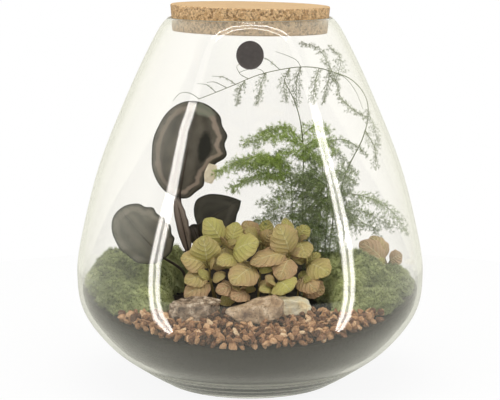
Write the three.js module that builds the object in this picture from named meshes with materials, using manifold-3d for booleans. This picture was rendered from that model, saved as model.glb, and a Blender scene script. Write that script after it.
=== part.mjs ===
// A drop-shaped glass terrarium closed by a cork. A prayer plant with dark leaves, a nerve plant and an
// asparagus fern stand in its soil between two mounds of moss, behind gravel and three stones.
// Millimetres, +Z up, the front towards -Y. The origin is the centre of the foot, on the surface that
// the terrarium stands on.
import * as THREE from "three";
import { LoftGeometry } from "three/addons/geometries/LoftGeometry.js";
import { mergeVertices } from "three/addons/utils/BufferGeometryUtils.js";
import Module from "manifold-3d";

// Left between two pieces that touch
const GAP = 0.3;

// Glass: radius and height of its outer face from the foot to the lip, and its thicknesses
const GLASS_OUTLINE = [
  [66.8, 0], [86.5, 12], [110.4, 30], [130, 56], [135, 82], [131.8, 112],
  [116.7, 170], [92.1, 230], [71.5, 272], [63, 283],
];
const GLASS_WALL = 3;
const FOOT_THICKNESS = 15;
const LIP_HEIGHT = 283.4;
const GLASS_SIDES = 32;
const OUTSIDE_STEPS = 18;
const INSIDE_STEPS = 9;
const WIDEST = Math.max(...GLASS_OUTLINE.map(([radius]) => radius));

// Cork: a taper that wedges in the mouth, pushed in a little askew
const CORK = { top: 292.5, bottom: 272, topRadius: 61.1, bottomRadius: 59.4, chamfer: 0.8 };
const CORK_TILT = THREE.MathUtils.degToRad(1.1);
const MOUTH_HEIGHT = 282;

// Round sticker on the front of the glass
const STICKER = { height: 260, radius: 10, thickness: 0.6, sides: 12 };

// Filling: its sides follow the glass in half as many faces
const FILL_SIDES = GLASS_SIDES / 2;
const SOIL = {
  depth: 54, sideRise: 22, sideReach: 126, sidePower: 2.6, backRise: 28, backStart: 0, backEnd: 90,
  backReach: 110, cells: 7,
};

// Gravel: a bed of rows of pebbles that fills the front of the vessel, up to an angle from its middle
const GRAVEL = {
  halfAngle: THREE.MathUtils.degToRad(49), innerRadius: 44, outerRadius: 134, floor: 30, depth: 4,
  rows: 9, columns: 13, grain: 3.4, top: 0.62, jitter: 0.55, seed: 7,
};

// Stones: broken pieces with flat faces between these corners, given from the place where each lies
const STONES = [
  {
    name: "stone_left", at: [-41, -64, 69], color: 0x9a8a82,
    corners: [
      [-18, -5, 5], [-17, 8, 6], [-7, -9, 6], [-5, 10, 7.5], [11, -8, 7], [12, 8, 8], [19, -4, 5],
      [19, 6, 5], [18.5, -2, 1], [-20, 1, -1], [-19, -8, -3], [-12, -11, -8], [1, -10, -10], [4, 9, -11],
      [-15, 9, -11],
    ],
  },
  {
    name: "stone_middle", at: [3.5, -66, 69], color: 0xb9aa9c,
    corners: [
      [-22, -3, -1], [-20, 5, 0], [-16, -9, -5], [-3, -9, 3.5], [2, 5, 7.5], [13, -3, 11.5], [15, 5, 11],
      [21, -5, 7], [22, 6, 5], [22, 0, -4], [14, -11, -5], [6, -11, -9], [-10, -8, -9], [-12, 8, -10],
      [12, 8, -11],
    ],
  },
  {
    name: "stone_right", at: [32, -45, 68], color: 0xd9c8ab,
    corners: [
      [-17, -5, 3], [-14, 6, 5], [-9, -7, 5], [4, -7, 4.5], [5, 7, 5], [11, -6, 2], [12, 6, 2], [15, -2, -2],
      [14, 6, -4], [13, -8, -6], [-6, -9, -7], [-16, 4, -9], [8, 8, -10],
    ],
  },
];

// Moss: each cushion is a dome with its middle in the soil, given as the place of the middle, the
// height of the top and the radius
const CUSHION = { sunk: 8, sides: 9, rings: 6, swell: 0.09, seed: 40 };
const MOSS = {
  moss_left: [
    [-104, 14, 101, 30], [-111, -20, 93, 27], [-84, 6, 101, 27], [-88, -36, 84, 28],
    [-103, -58, 79, 22], [-72, -26, 80, 17], [-98, 46, 92, 28], [-71, 25, 105, 18],
    [-60, 31, 101, 15],
  ],
  moss_right: [
    [89, -4, 99, 27], [112, -22, 87, 24], [78, -20, 93, 20], [95, -46, 82, 25],
    [106, -62, 77, 20], [75, -42, 76, 16], [113, 14, 88, 22], [82, 4, 105, 20], [66, -2, 94, 16],
    [53, 8, 98, 13], [67, 4, 102, 14],
  ],
};
const MOSS_COLOR = 0x6f8a45;

// Prayer plant: each leaf is a blade on its own stalk out of the soil. An early leaf is widest nearer
// its base. A bay narrows one margin of the leaf, up to where bayEnds says
const DARK_LEAVES = [
  {
    name: "dark_leaf_tall", foot: [-46, 16], stalk: [[-49, 14, 100]], base: [-55.5, 6, 141.5],
    tip: [-40, 8, 217], width: 58, fullness: 0.9, face: [-0.1, -1, 0.1],
    arch: 0.08, ripple: 1.6, early: 1, bay: 0.3, rows: 12, columns: 6,
  },
  {
    name: "dark_leaf_left", foot: [-51, 5], stalk: [[-52, -4, 84]], base: [-66, -18, 98],
    tip: [-98, -34, 140], width: 41, fullness: 0.9, face: [-0.2, -0.95, 0.25],
    arch: 0.1, ripple: 2, early: 1, bay: 0, rows: 8, columns: 6,
  },
  {
    name: "dark_leaf_right", foot: [-39, 11], stalk: [[-37, 9, 92]], base: [-41, 3, 120],
    tip: [-7, -4, 141], width: 37, fullness: 1.8, face: [0.1, -0.9, 0.4],
    arch: 0.12, ripple: 1, early: 0.62, bay: 0, rows: 8, columns: 4,
  },
  {
    name: "dark_leaf_folded", foot: [-45, 1], stalk: [[-47, 0, 84]], base: [-48, -1, 99],
    tip: [-58, -2, 144], width: 10, fullness: 1, face: [0.3, -0.9, 0],
    arch: 0.04, ripple: 0.4, early: 1, bay: 0, rows: 5, columns: 4,
  },
  {
    name: "dark_leaf_small", foot: [-36, 20], stalk: [[-38, 16, 90]], base: [-40, 10, 104],
    tip: [-46, 8, 120], width: 13, fullness: 0.9, face: [0.2, -0.9, 0.3],
    arch: 0.1, ripple: 0.8, early: 1, bay: 0, rows: 5, columns: 4,
  },
];
const DARK_LEAF_COLOR = 0x45413a;
const DARK_BLADE = {
  thickness: 0.9, sag: 0.08, scallop: 0.045, scallops: 34, waves: 20,
  stalkEnds: [0.03, 0.1, 0.2], bayEnds: [0.36, 0.5],
};
const STALK = { foot: 1.7, top: 0.9, sides: 5 };

// Nerve plant: each stem has joints where its leaves are, given as base, tip and width
const NERVE_STEMS = [
  {
    name: "nerve_stem_1", foot: [-24, -18], joints: [[-31, -26, 92], [-20, -20, 109]],
    leaves: [
      [[-22, -20, 112], [-35, -22, 130], 20], [[-14, -20, 111], [-10, -14, 126], 15],
      [[-33, -29, 97], [-36, -34, 119], 24], [[-34, -29, 95], [-53, -36, 102], 20],
      [[-13, -24, 104], [7, -34, 114], 24], [[-11, -26, 100], [-25, -40, 98], 14],
    ],
  },
  {
    name: "nerve_stem_2", foot: [-26, -30], joints: [[-30, -32, 84]],
    leaves: [[[-33, -33, 88], [-50, -40, 84], 17], [[-31, -34, 82], [-50, -42, 73], 18]],
  },
  {
    name: "nerve_stem_3", foot: [6, -6], joints: [[10, -7, 108]],
    leaves: [
      [[4, -7, 111], [-5, -5, 125], 17], [[6, -10, 110], [-4, -20, 121], 15],
      [[11, -5, 112], [14, 2, 125], 13], [[11, -11, 107], [17, -18, 120], 15],
    ],
  },
  {
    name: "nerve_stem_4", foot: [26, -12], joints: [[30, -22, 101]],
    leaves: [
      [[30, -25, 104], [21, -29, 127], 24], [[31, -19, 106], [27, -12, 129], 13],
      [[27, -26, 103], [0, -38, 98], 17], [[30, -27, 100], [22, -41, 86], 20],
    ],
  },
  {
    name: "nerve_stem_5", foot: [2, -24], joints: [[-6, -32, 76], [5, -28, 92]],
    leaves: [
      [[3, -30, 94], [-14, -47, 84], 24], [[-10, -36, 79], [-26, -45, 78], 15],
      [[-2, -36, 75], [-14, -51, 73], 15], [[-12, -31, 71], [-23, -35, 66], 11],
    ],
  },
  {
    name: "nerve_stem_6", foot: [18, -28], joints: [[20, -35, 82]],
    leaves: [
      [[22, -38, 84], [31, -50, 79.5], 23], [[17, -39, 82], [12, -44, 90], 9],
      [[16, -38, 79], [7, -47, 79], 9],
    ],
  },
  {
    name: "nerve_stem_7", foot: [41, -8], joints: [[44, -16, 94], [37, -9, 110]],
    leaves: [
      [[37, -8, 113], [46, -5, 121], 13], [[38, -13, 110], [43, -26, 100], 18],
      [[46, -19, 94], [61, -30, 88], 22],
    ],
  },
  {
    name: "nerve_stem_8", foot: [36, -20], joints: [[38, -22, 80]],
    leaves: [[[39, -24, 84], [51, -38, 76], 19], [[42, -22, 78], [57, -29, 73], 19]],
  },
  {
    name: "nerve_stem_9", foot: [-8, 14], joints: [[-12, 18, 86], [-6, 12, 100]],
    leaves: [
      [[-14, 20, 88], [-30, 28, 90], 22], [[-10, 22, 88], [-4, 38, 84], 20],
      [[-8, 14, 103], [-22, 8, 112], 19], [[-4, 14, 103], [8, 20, 113], 19],
    ],
  },
  {
    name: "nerve_stem_10", foot: [16, 16], joints: [[18, 20, 82], [22, 14, 96]],
    leaves: [
      [[16, 23, 84], [8, 38, 86], 22], [[22, 22, 84], [34, 30, 78], 18],
      [[20, 12, 99], [8, 4, 102], 17], [[25, 12, 98], [36, 4, 98], 17],
    ],
  },
  {
    name: "nerve_stem_back", foot: [104, 44], joints: [[112, 38, 82]],
    leaves: [
      [[109, 38, 84], [89, 40, 100], 22], [[114, 37, 85], [124, 34, 91], 15],
      [[110, 41, 87], [99, 50, 103], 18],
    ],
  },
];
const NERVE_COLOR = 0xaea45c;
const NERVE_LEAF = {
  face: [0, -0.75, 0.66], arch: 0.14, curl: 0.16, thickness: 0.8, steps: [0.06, 0.3, 0.56, 0.8, 1],
  shares: [-1, 0, 1], widestBefore: 0.85, fullness: 0.6,
};
const NERVE_STEM = { foot: 1.3, top: 0.8, petiole: 0.6, sides: 5 };

// Asparagus fern: each shoot is a stem with sprays along their ribs
const FERN_SHOOTS = [
  {
    name: "fern_shoot_1", foot: [72, 46], fine: true,
    stem: [
      [76, 38, 104], [74, 28, 127], [73, 20, 149], [79, 14, 168], [88, 8, 188], [92, 4, 206],
      [91, 2, 219], [86, 0, 228], [77, 0, 236], [67, 0, 240], [53, -2, 244], [39, -4, 245],
      [23, -6, 243], [6, -8, 239], [-11, -8, 232], [-26, -9, 226], [-39, -10, 221],
    ],
    sprays: [
      [[92, 4, 206], [84, 0, 209], [70, -2, 222], [66, -2, 234]],
      [[66, -2, 234], [60, -4, 248], [52, -4, 259], [40, -6, 264]],
      [[66, -2, 234], [70, 4, 250], [62, 6, 260]],
      [[53, -2, 244], [50, -8, 234], [48, -10, 220]], [[62, -1, 242], [60, 6, 230], [58, 8, 218]],
      [[39, -4, 245], [36, 2, 234], [36, 4, 216]], [[30, -5, 244], [26, -12, 234], [27, -14, 221]],
      [[12, -7, 241], [8, -12, 231], [6, -14, 219]], [[-4, -8, 235], [-8, -3, 227], [-10, -2, 218]],
      [[23, -6, 243], [12, -12, 252], [3, -14, 254]], [[-11, -8, 232], [-20, -14, 238], [-29, -16, 239]],
      [[-26, -9, 226], [-33, -12, 232], [-40, -13, 233]],
      [[91, 3, 212], [97, 8, 199], [101, 10, 184]], [[90, 6, 195], [97, 0, 182], [98, -2, 168]],
    ],
  },
  {
    name: "fern_shoot_2", foot: [43, 40],
    stem: [
      [43, 32, 100], [42, 25, 128], [42, 20, 155], [42, 15, 180], [39, 11, 203], [34, 9, 219],
      [27, 8, 232],
    ],
    sprays: [
      [[42, 15, 180], [24, 8, 190], [-2, -2, 187]], [[42, 14, 184], [30, 20, 194], [10, 26, 192]],
      [[42, 16, 176], [56, 10, 186], [66, 4, 180]], [[41, 14, 190], [50, 20, 196], [60, 26, 194]],
    ],
  },
  {
    name: "fern_shoot_3", foot: [34, 33],
    stem: [[34, 30, 95], [34, 26, 120], [33, 21, 146], [31, 16, 166]],
    sprays: [
      [[31, 16, 166], [10, 0, 176], [-25, -16, 166]], [[33, 20, 150], [10, 12, 160], [-14, 4, 150]],
      [[32, 18, 158], [14, 26, 168], [-8, 34, 164]],
    ],
  },
  {
    name: "fern_shoot_4", foot: [54, 44],
    stem: [[55, 40, 100], [57, 36, 130], [58, 31, 162], [59, 26, 184]],
    sprays: [
      [[59, 26, 184], [75, 18, 186], [91, 10, 177]], [[58, 29, 170], [71, 30, 173], [82, 30, 160]],
      [[57, 34, 146], [71, 40, 156], [86, 44, 148]], [[58, 30, 164], [50, 42, 172], [40, 54, 168]],
    ],
  },
  {
    name: "fern_shoot_5", foot: [63, 35],
    stem: [[64, 30, 96], [66, 25, 118], [67, 21, 136], [66, 18, 148]],
    sprays: [
      [[66, 19, 144], [91, 10, 142], [112, 4, 131], [122, 0, 118]],
      [[67, 22, 131], [90, 16, 129], [110, 14, 119]], [[66, 25, 116], [88, 26, 119], [102, 27, 112]],
    ],
  },
  {
    name: "fern_shoot_6", foot: [50, 31],
    stem: [[50, 27, 92], [52, 21, 112], [53, 16, 130], [52, 12, 146]],
    sprays: [
      [[52, 13, 142], [35, 5, 147], [12, -4, 138]], [[53, 16, 128], [32, 10, 130], [8, 3, 122]],
      [[52, 20, 114], [38, 10, 118], [25, 3, 115]], [[52, 14, 138], [60, 2, 142], [66, -8, 138]],
    ],
  },
  {
    name: "fern_shoot_7", foot: [60, 25],
    stem: [[60, 21, 100], [61, 16, 122], [61, 12, 144], [58, 8, 164]],
    sprays: [
      [[61, 18, 114], [54, 6, 120], [48, -4, 116]], [[61, 14, 132], [72, 6, 134], [82, -2, 128]],
      [[59, 9, 158], [68, 4, 164], [78, 0, 158]], [[59, 9, 156], [48, 2, 164], [36, -4, 160]],
    ],
  },
];
const FERN_COLOR = 0x4f6b3a;
const FERN = {
  stemFoot: 1.1, stemTop: 0.6, stemSides: 4, ribFoot: 0.75, ribTop: 0.45, ribSides: 3, band: 0.9,
  spacing: 10.5, fineSpacing: 7.5, twigLength: 13, needleLength: 6.5, lean: 0.8, clearance: 0.7,
  probes: [0.4, 0.6, 0.8, 1], seed: 60,
};

// Stems stand this deep in their holes and leave them upright
const HOLE = { depth: 14, clearance: 0.35, sides: 6, upright: 3 };

const wasm = await Module();
wasm.setup();
const { Manifold, Mesh: SolidMesh } = wasm;

// A repeatable run of numbers from 0 to 1
function seededRandom(seed) {
  let state = seed;
  return () => {
    state = (state + 0x6d2b79f5) | 0;
    let mixed = Math.imul(state ^ (state >>> 15), 1 | state);
    mixed = (mixed + Math.imul(mixed ^ (mixed >>> 7), 61 | mixed)) ^ mixed;
    return ((mixed ^ (mixed >>> 14)) >>> 0) / 4294967296;
  };
}

const vector = (xyz) => new THREE.Vector3(...xyz);

// Solids: closed geometry in, with the faces turned outwards and the doubled vertices joined
function toSolid(geometry) {
  const bare = new THREE.BufferGeometry();
  bare.setAttribute("position", geometry.getAttribute("position"));
  bare.setIndex(geometry.index);
  const merged = mergeVertices(bare, 1e-3);
  const index = Array.from(merged.index.array);
  const volume = (a, b, c) => a.dot(b.clone().cross(c)) / 6;
  const corner = (i) => new THREE.Vector3().fromBufferAttribute(merged.attributes.position, i);
  const triangles = [];
  let total = 0;
  for (let i = 0; i < index.length; i += 3) {
    const [a, b, c] = index.slice(i, i + 3);
    if (a === b || b === c || c === a) continue;
    triangles.push([a, b, c]);
    total += volume(corner(a), corner(b), corner(c));
  }
  if (total < 0) triangles.forEach((triangle) => triangle.reverse());
  const vertProperties = new Float32Array(merged.attributes.position.array);
  const triVerts = new Uint32Array(triangles.flat());
  return new Manifold(new SolidMesh({ numProp: 3, vertProperties, triVerts }));
}

function toGeometry(solid) {
  const { vertProperties, triVerts } = solid.getMesh();
  const geometry = new THREE.BufferGeometry();
  geometry.setAttribute("position", new THREE.BufferAttribute(vertProperties, 3));
  geometry.setIndex(new THREE.BufferAttribute(triVerts, 1));
  geometry.computeVertexNormals();
  return geometry;
}

function toMesh(points, index) {
  const geometry = new THREE.BufferGeometry();
  const positions = points.flatMap((point) => point.toArray());
  geometry.setAttribute("position", new THREE.Float32BufferAttribute(positions, 3));
  geometry.setIndex(index);
  return geometry;
}

// Fuses solids that meet and drops the scraps that a cut has left loose
function fuse(solids) {
  const joined = solids.reduce((whole, next) => whole.add(next));
  return joined.decompose().reduce((best, body) => (body.volume() > best.volume() ? body : best));
}

// A closed plate between two grids of points, split into triangles alike on both faces. Given the
// corners of a face in front, raise may return the corners of a smaller one that stands out of it.
function plate(front, back, raise = () => null) {
  const rows = front.length;
  const columns = front[0].length;
  const points = [...front.flat(), ...back.flat()];
  const at = (side, i, j) => side * rows * columns + i * columns + j;
  const index = [];
  const quad = (a, b, c, d) => index.push(a, b, c, a, c, d);
  const frontQuad = (corners) => {
    const raised = raise(corners.map((corner) => points[corner]));
    if (!raised) return quad(...corners);
    const tops = raised.map((point) => points.push(point) - 1);
    corners.forEach((corner, k) => quad(corner, corners[(k + 1) % 4], tops[(k + 1) % 4], tops[k]));
    return quad(...tops);
  };
  for (let i = 0; i + 1 < rows; i++) {
    for (let j = 0; j + 1 < columns; j++) {
      frontQuad([at(0, i, j), at(0, i, j + 1), at(0, i + 1, j + 1), at(0, i + 1, j)]);
      index.push(at(1, i, j), at(1, i + 1, j + 1), at(1, i, j + 1));
      index.push(at(1, i, j), at(1, i + 1, j), at(1, i + 1, j + 1));
    }
    quad(at(0, i, 0), at(0, i + 1, 0), at(1, i + 1, 0), at(1, i, 0));
    quad(at(0, i + 1, columns - 1), at(0, i, columns - 1), at(1, i, columns - 1), at(1, i + 1, columns - 1));
  }
  for (let j = 0; j + 1 < columns; j++) {
    quad(at(0, 0, j + 1), at(0, 0, j), at(1, 0, j), at(1, 0, j + 1));
    quad(at(0, rows - 1, j), at(0, rows - 1, j + 1), at(1, rows - 1, j + 1), at(1, rows - 1, j));
  }
  return toMesh(points, index);
}

// Rings of points round a curve at the given shares of it, each turned as little as it can be from
// the one before
function ringsAlong(curve, shares, radiusAt, sides) {
  const side = new THREE.Vector3(0.1, 0.2, 1);
  return shares.map((share) => {
    const along = curve.getTangent(share);
    side.addScaledVector(along, -side.dot(along)).normalize();
    const other = along.clone().cross(side);
    return Array.from({ length: sides }, (_, k) => {
      const angle = (2 * Math.PI * k) / sides;
      const out = side.clone().multiplyScalar(Math.cos(angle)).addScaledVector(other, Math.sin(angle));
      return out.multiplyScalar(radiusAt(share)).add(curve.getPoint(share));
    });
  });
}

const throughPoints = (points) => new THREE.CatmullRomCurve3(points, false, "centripetal");

// A tapered tube with a ring at each of its points
function tube(points, footRadius, topRadius, sides) {
  const shares = points.map((_, i) => i / (points.length - 1));
  const radiusAt = (share) => THREE.MathUtils.lerp(footRadius, topRadius, share);
  const rings = ringsAlong(throughPoints(points), shares, radiusAt, sides);
  return toSolid(new LoftGeometry(rings, { capStart: true, capEnd: true }));
}

// Turns a profile of radii and heights round the vertical axis
function revolve(profile, sides) {
  const lathe = new THREE.LatheGeometry(profile, sides);
  lathe.rotateX(Math.PI / 2);
  return toSolid(lathe);
}

// Glass
const outerFace = new THREE.SplineCurve(GLASS_OUTLINE.map(([r, z]) => new THREE.Vector2(r, z)));

function glassProfile(inset, steps) {
  const points = [];
  for (let i = 0; i <= steps; i++) {
    const along = outerFace.getTangent(i / steps);
    const inward = new THREE.Vector2(-along.y, along.x);
    points.push(outerFace.getPoint(i / steps).addScaledVector(inward, inset));
  }
  return points;
}

// From the middle of the floor along the wall up to the mouth
function insideProfile(clearance) {
  const floor = FOOT_THICKNESS + clearance;
  const wall = glassProfile(GLASS_WALL + clearance, INSIDE_STEPS);
  const first = wall.findIndex((point) => point.y > floor);
  const [low, high] = [wall[first - 1], wall[first]];
  const corner = low.clone().lerp(high, (floor - low.y) / (high.y - low.y));
  return [new THREE.Vector2(0, floor), corner, ...wall.slice(first)];
}

// Radius of the glass's outer face at a height
function glassRadius(height) {
  const points = glassProfile(0, 5 * OUTSIDE_STEPS);
  const above = points.findIndex((point) => point.y > height);
  const [low, high] = [points[above - 1], points[above]];
  return THREE.MathUtils.mapLinear(height, low.y, high.y, low.x, high.x);
}

function makeGlass() {
  const outside = glassProfile(0, OUTSIDE_STEPS);
  const inside = insideProfile(0).reverse();
  const lipTop = new THREE.Vector2((outside.at(-1).x + inside[0].x) / 2, LIP_HEIGHT);
  return revolve([new THREE.Vector2(0, 0), ...outside, lipTop, ...inside], GLASS_SIDES);
}

function makeCork() {
  const { top, bottom, topRadius, bottomRadius, chamfer } = CORK;
  const profile = [
    [0, bottom], [bottomRadius - chamfer, bottom], [bottomRadius, bottom + chamfer],
    [topRadius, top - chamfer], [topRadius - chamfer, top], [0, top],
  ];
  return revolve(profile.map(([r, z]) => new THREE.Vector2(r, z - MOUTH_HEIGHT)), GLASS_SIDES);
}

// A disc bent onto the front of the glass
function makeSticker() {
  const { height, radius, thickness, sides } = STICKER;
  const disc = new THREE.CylinderGeometry(radius, radius, thickness, sides);
  disc.rotateX(Math.PI / 2);
  const place = disc.getAttribute("position");
  for (let i = 0; i < place.count; i++) {
    const [x, y] = [place.getX(i), place.getY(i)];
    const reach = glassRadius(height + y) + GAP + thickness / 2 + place.getZ(i);
    place.setXYZ(i, x, -Math.sqrt(reach * reach - x * x), height + y);
  }
  return toSolid(disc);
}

// Filling
const inside = revolve([...insideProfile(GAP), new THREE.Vector2(0, MOUTH_HEIGHT)], FILL_SIDES);

function soilHeight(x, y) {
  const side = Math.min(Math.abs(x) / SOIL.sideReach, 1) ** SOIL.sidePower;
  const back = THREE.MathUtils.clamp((y - SOIL.backStart) / (SOIL.backEnd - SOIL.backStart), 0, 1);
  const middle = Math.max(1 - (x / SOIL.backReach) ** 2, 0);
  return SOIL.depth + SOIL.sideRise * side + SOIL.backRise * back * middle;
}

// The ground as a block that reaches past the glass on every side
function makeGround() {
  const step = (2 * WIDEST) / SOIL.cells;
  const layer = (height) => {
    const grid = [];
    for (let i = 0; i <= SOIL.cells; i++) {
      const row = [];
      for (let j = 0; j <= SOIL.cells; j++) {
        const [x, y] = [j * step - WIDEST, i * step - WIDEST];
        row.push(new THREE.Vector3(x, y, height(x, y)));
      }
      grid.push(row);
    }
    return grid;
  };
  return toSolid(plate(layer(soilHeight), layer(() => 0)));
}

const ground = makeGround();
const groundCut = ground.translate(0, 0, GAP);

function makeHole([x, y], radius) {
  const across = (radius + HOLE.clearance) / Math.cos(Math.PI / HOLE.sides);
  const hole = new THREE.CylinderGeometry(across, across, 2 * HOLE.depth, HOLE.sides);
  hole.rotateX(Math.PI / 2);
  hole.translate(x, y, soilHeight(x, y));
  return toSolid(hole);
}

// Where a stem starts, just above the bottom of its hole, and where it leaves the soil
function footPoints([x, y]) {
  const top = soilHeight(x, y);
  return [GAP - HOLE.depth, 0, HOLE.upright].map((rise) => new THREE.Vector3(x, y, top + rise));
}

const reachOf = (corners, axis) => Math.max(...corners.map((corner) => Math.abs(corner[axis])));

function makeGravel(stones) {
  const { halfAngle, innerRadius, outerRadius, floor, depth, rows, columns, grain, top, jitter } = GRAVEL;
  const random = seededRandom(GRAVEL.seed);
  const layer = (height) => {
    const grid = [];
    for (let i = 0; i <= rows; i++) {
      const row = [];
      for (let j = 0; j <= columns; j++) {
        const across = j + (j % columns ? (random() - 0.5) * jitter : 0);
        const out = i + (i % rows ? (random() - 0.5) * jitter : 0);
        const angle = THREE.MathUtils.lerp(halfAngle, -halfAngle, across / columns);
        const radius = THREE.MathUtils.lerp(innerRadius, outerRadius, out / rows);
        const [x, y] = [Math.sin(angle) * radius, -Math.cos(angle) * radius];
        row.push(new THREE.Vector3(x, y, height(x, y)));
      }
      grid.push(row);
    }
    return grid;
  };
  const isCovered = ({ x, y }) =>
    stones.some(({ at, corners }) => {
      const shares = [(x - at[0]) / reachOf(corners, 0), (y - at[1]) / reachOf(corners, 1)];
      return Math.hypot(...shares) < 1;
    });
  // A pebble's top, smaller than its foot and tilted at random, or nothing under a stone
  const raise = (corners) => {
    const middle = new THREE.Vector3();
    corners.forEach((corner) => middle.addScaledVector(corner, 1 / corners.length));
    if (isCovered(middle)) return null;
    const height = grain * (0.7 + 0.6 * random());
    return corners.map((corner) => {
      const raised = middle.clone().lerp(corner, top * (0.8 + 0.4 * random()));
      raised.z = middle.z + height * (0.75 + 0.5 * random());
      return raised;
    });
  };
  const bed = plate(layer((x, y) => soilHeight(x, y) + depth), layer(() => floor), raise);
  let gravel = toSolid(bed).intersect(inside).subtract(groundCut);
  for (const { corners, at } of stones) {
    const grow = [0, 1, 2].map((axis) => 1 + (2 * GAP) / reachOf(corners, axis));
    gravel = gravel.subtract(Manifold.hull(corners).scale(grow).translate(...at));
  }
  return fuse([gravel]);
}

function makeMoss(cushions, seed) {
  const random = seededRandom(seed);
  const domes = cushions.map(([x, y, top, radius]) => {
    const low = soilHeight(x, y) - CUSHION.sunk;
    const dome = new THREE.SphereGeometry(1, CUSHION.sides, CUSHION.rings);
    dome.deleteAttribute("normal");
    dome.deleteAttribute("uv");
    const round = mergeVertices(dome, 1e-3);
    const place = round.getAttribute("position");
    for (let i = 0; i < place.count; i++) {
      const swell = 1 + CUSHION.swell * (random() - 0.5);
      place.setXYZ(i, place.getX(i) * swell, place.getY(i) * swell, place.getZ(i) * swell);
    }
    round.rotateX(Math.PI / 2);
    round.scale(radius, radius, top - low);
    round.translate(x, y, low);
    return toSolid(round);
  });
  return fuse([Manifold.union(domes).intersect(inside).subtract(groundCut)]);
}

// Leaves: the midrib arches from base to tip, towards the side that the upper face looks to
function leafAxes(base, tip, face, arch) {
  const along = tip.clone().sub(base);
  const length = along.length();
  along.normalize();
  const up = vector(face).addScaledVector(along, -vector(face).dot(along)).normalize();
  const across = new THREE.Vector3().crossVectors(along, up);
  const middle = base.clone().lerp(tip, 0.5).addScaledVector(up, 2 * arch * length);
  return { up, across, midrib: new THREE.QuadraticBezierCurve3(base, middle, tip) };
}

function makeBlade({ axes, joint, steps, shares, halfWidth, lift, thickness }) {
  const { up, across, midrib } = axes;
  const rows = steps.map((t) => ({ t, middle: midrib.getPoint(t) }));
  if (joint) rows.unshift({ t: 0, middle: joint });
  const layer = (offset) =>
    rows.map(({ t, middle }) =>
      shares.map((share) => {
        const point = middle.clone().addScaledVector(across, share * halfWidth(t, share));
        return point.addScaledVector(up, lift(t, share) + offset);
      }),
    );
  return toSolid(plate(layer(thickness / 2), layer(-thickness / 2)));
}

function makeDarkLeaf(leaf) {
  const { foot, stalk, base, tip, width, fullness, face, arch, ripple, early, bay, rows, columns } = leaf;
  const { thickness, sag, scallop, scallops, waves, stalkEnds, bayEnds } = DARK_BLADE;
  const axes = leafAxes(vector(base), vector(tip), face, arch);
  const steps = Array.from({ length: rows + 1 }, (_, i) => 0.5 - 0.5 * Math.cos((Math.PI * i) / rows));
  const shares = Array.from({ length: columns + 1 }, (_, j) => (2 * j) / columns - 1);
  const blade = makeBlade({
    axes,
    steps,
    shares,
    thickness,
    halfWidth: (t, share) => {
      const reach = t ** early;
      const round = Math.sqrt(Math.max(0, 4 * reach * (1 - reach))) ** fullness;
      const cut = bay * (1 - THREE.MathUtils.smoothstep(t, ...bayEnds));
      const wave = scallop * Math.sin(scallops * t + 2 * share);
      return (width / 2) * round * (1 + (wave - cut) * Math.max(share, 0));
    },
    lift: (t, share) => {
      const wave = ripple * Math.abs(share) ** 3 * Math.sin(waves * t + 3 * share);
      return (wave - sag * width * share * share) * Math.sin(Math.PI * t);
    },
  });
  const along = stalkEnds.map((t) => axes.midrib.getPoint(t));
  const path = [...footPoints(foot), ...stalk.map(vector), ...along];
  return fuse([tube(path, STALK.foot, STALK.top, STALK.sides), blade]);
}

// A nerve plant's blade narrows into its petiole, which reaches from the joint of the stem
function makeNerveStem({ foot, joints, leaves }) {
  const { face, arch, curl, steps, shares, thickness, widestBefore, fullness } = NERVE_LEAF;
  const places = joints.map(vector);
  const stem = [...footPoints(foot), ...places];
  const pieces = [tube(stem, NERVE_STEM.foot, NERVE_STEM.top, NERVE_STEM.sides)];
  for (const [base, tip, width] of leaves) {
    const axes = leafAxes(vector(base), vector(tip), face, arch);
    const distance = (place) => place.distanceTo(axes.midrib.v0);
    const joint = places.reduce((a, b) => (distance(a) < distance(b) ? a : b));
    const outline = (t) => (width / 2) * Math.sin(Math.PI * t ** widestBefore) ** fullness;
    const blade = makeBlade({
      axes,
      joint,
      steps,
      shares,
      thickness,
      halfWidth: (t) => Math.max(NERVE_STEM.petiole, outline(t)),
      lift: (t, share) => -curl * width * share * share * Math.sin(Math.PI * t),
    });
    pieces.push(blade);
  }
  return fuse(pieces);
}

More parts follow.
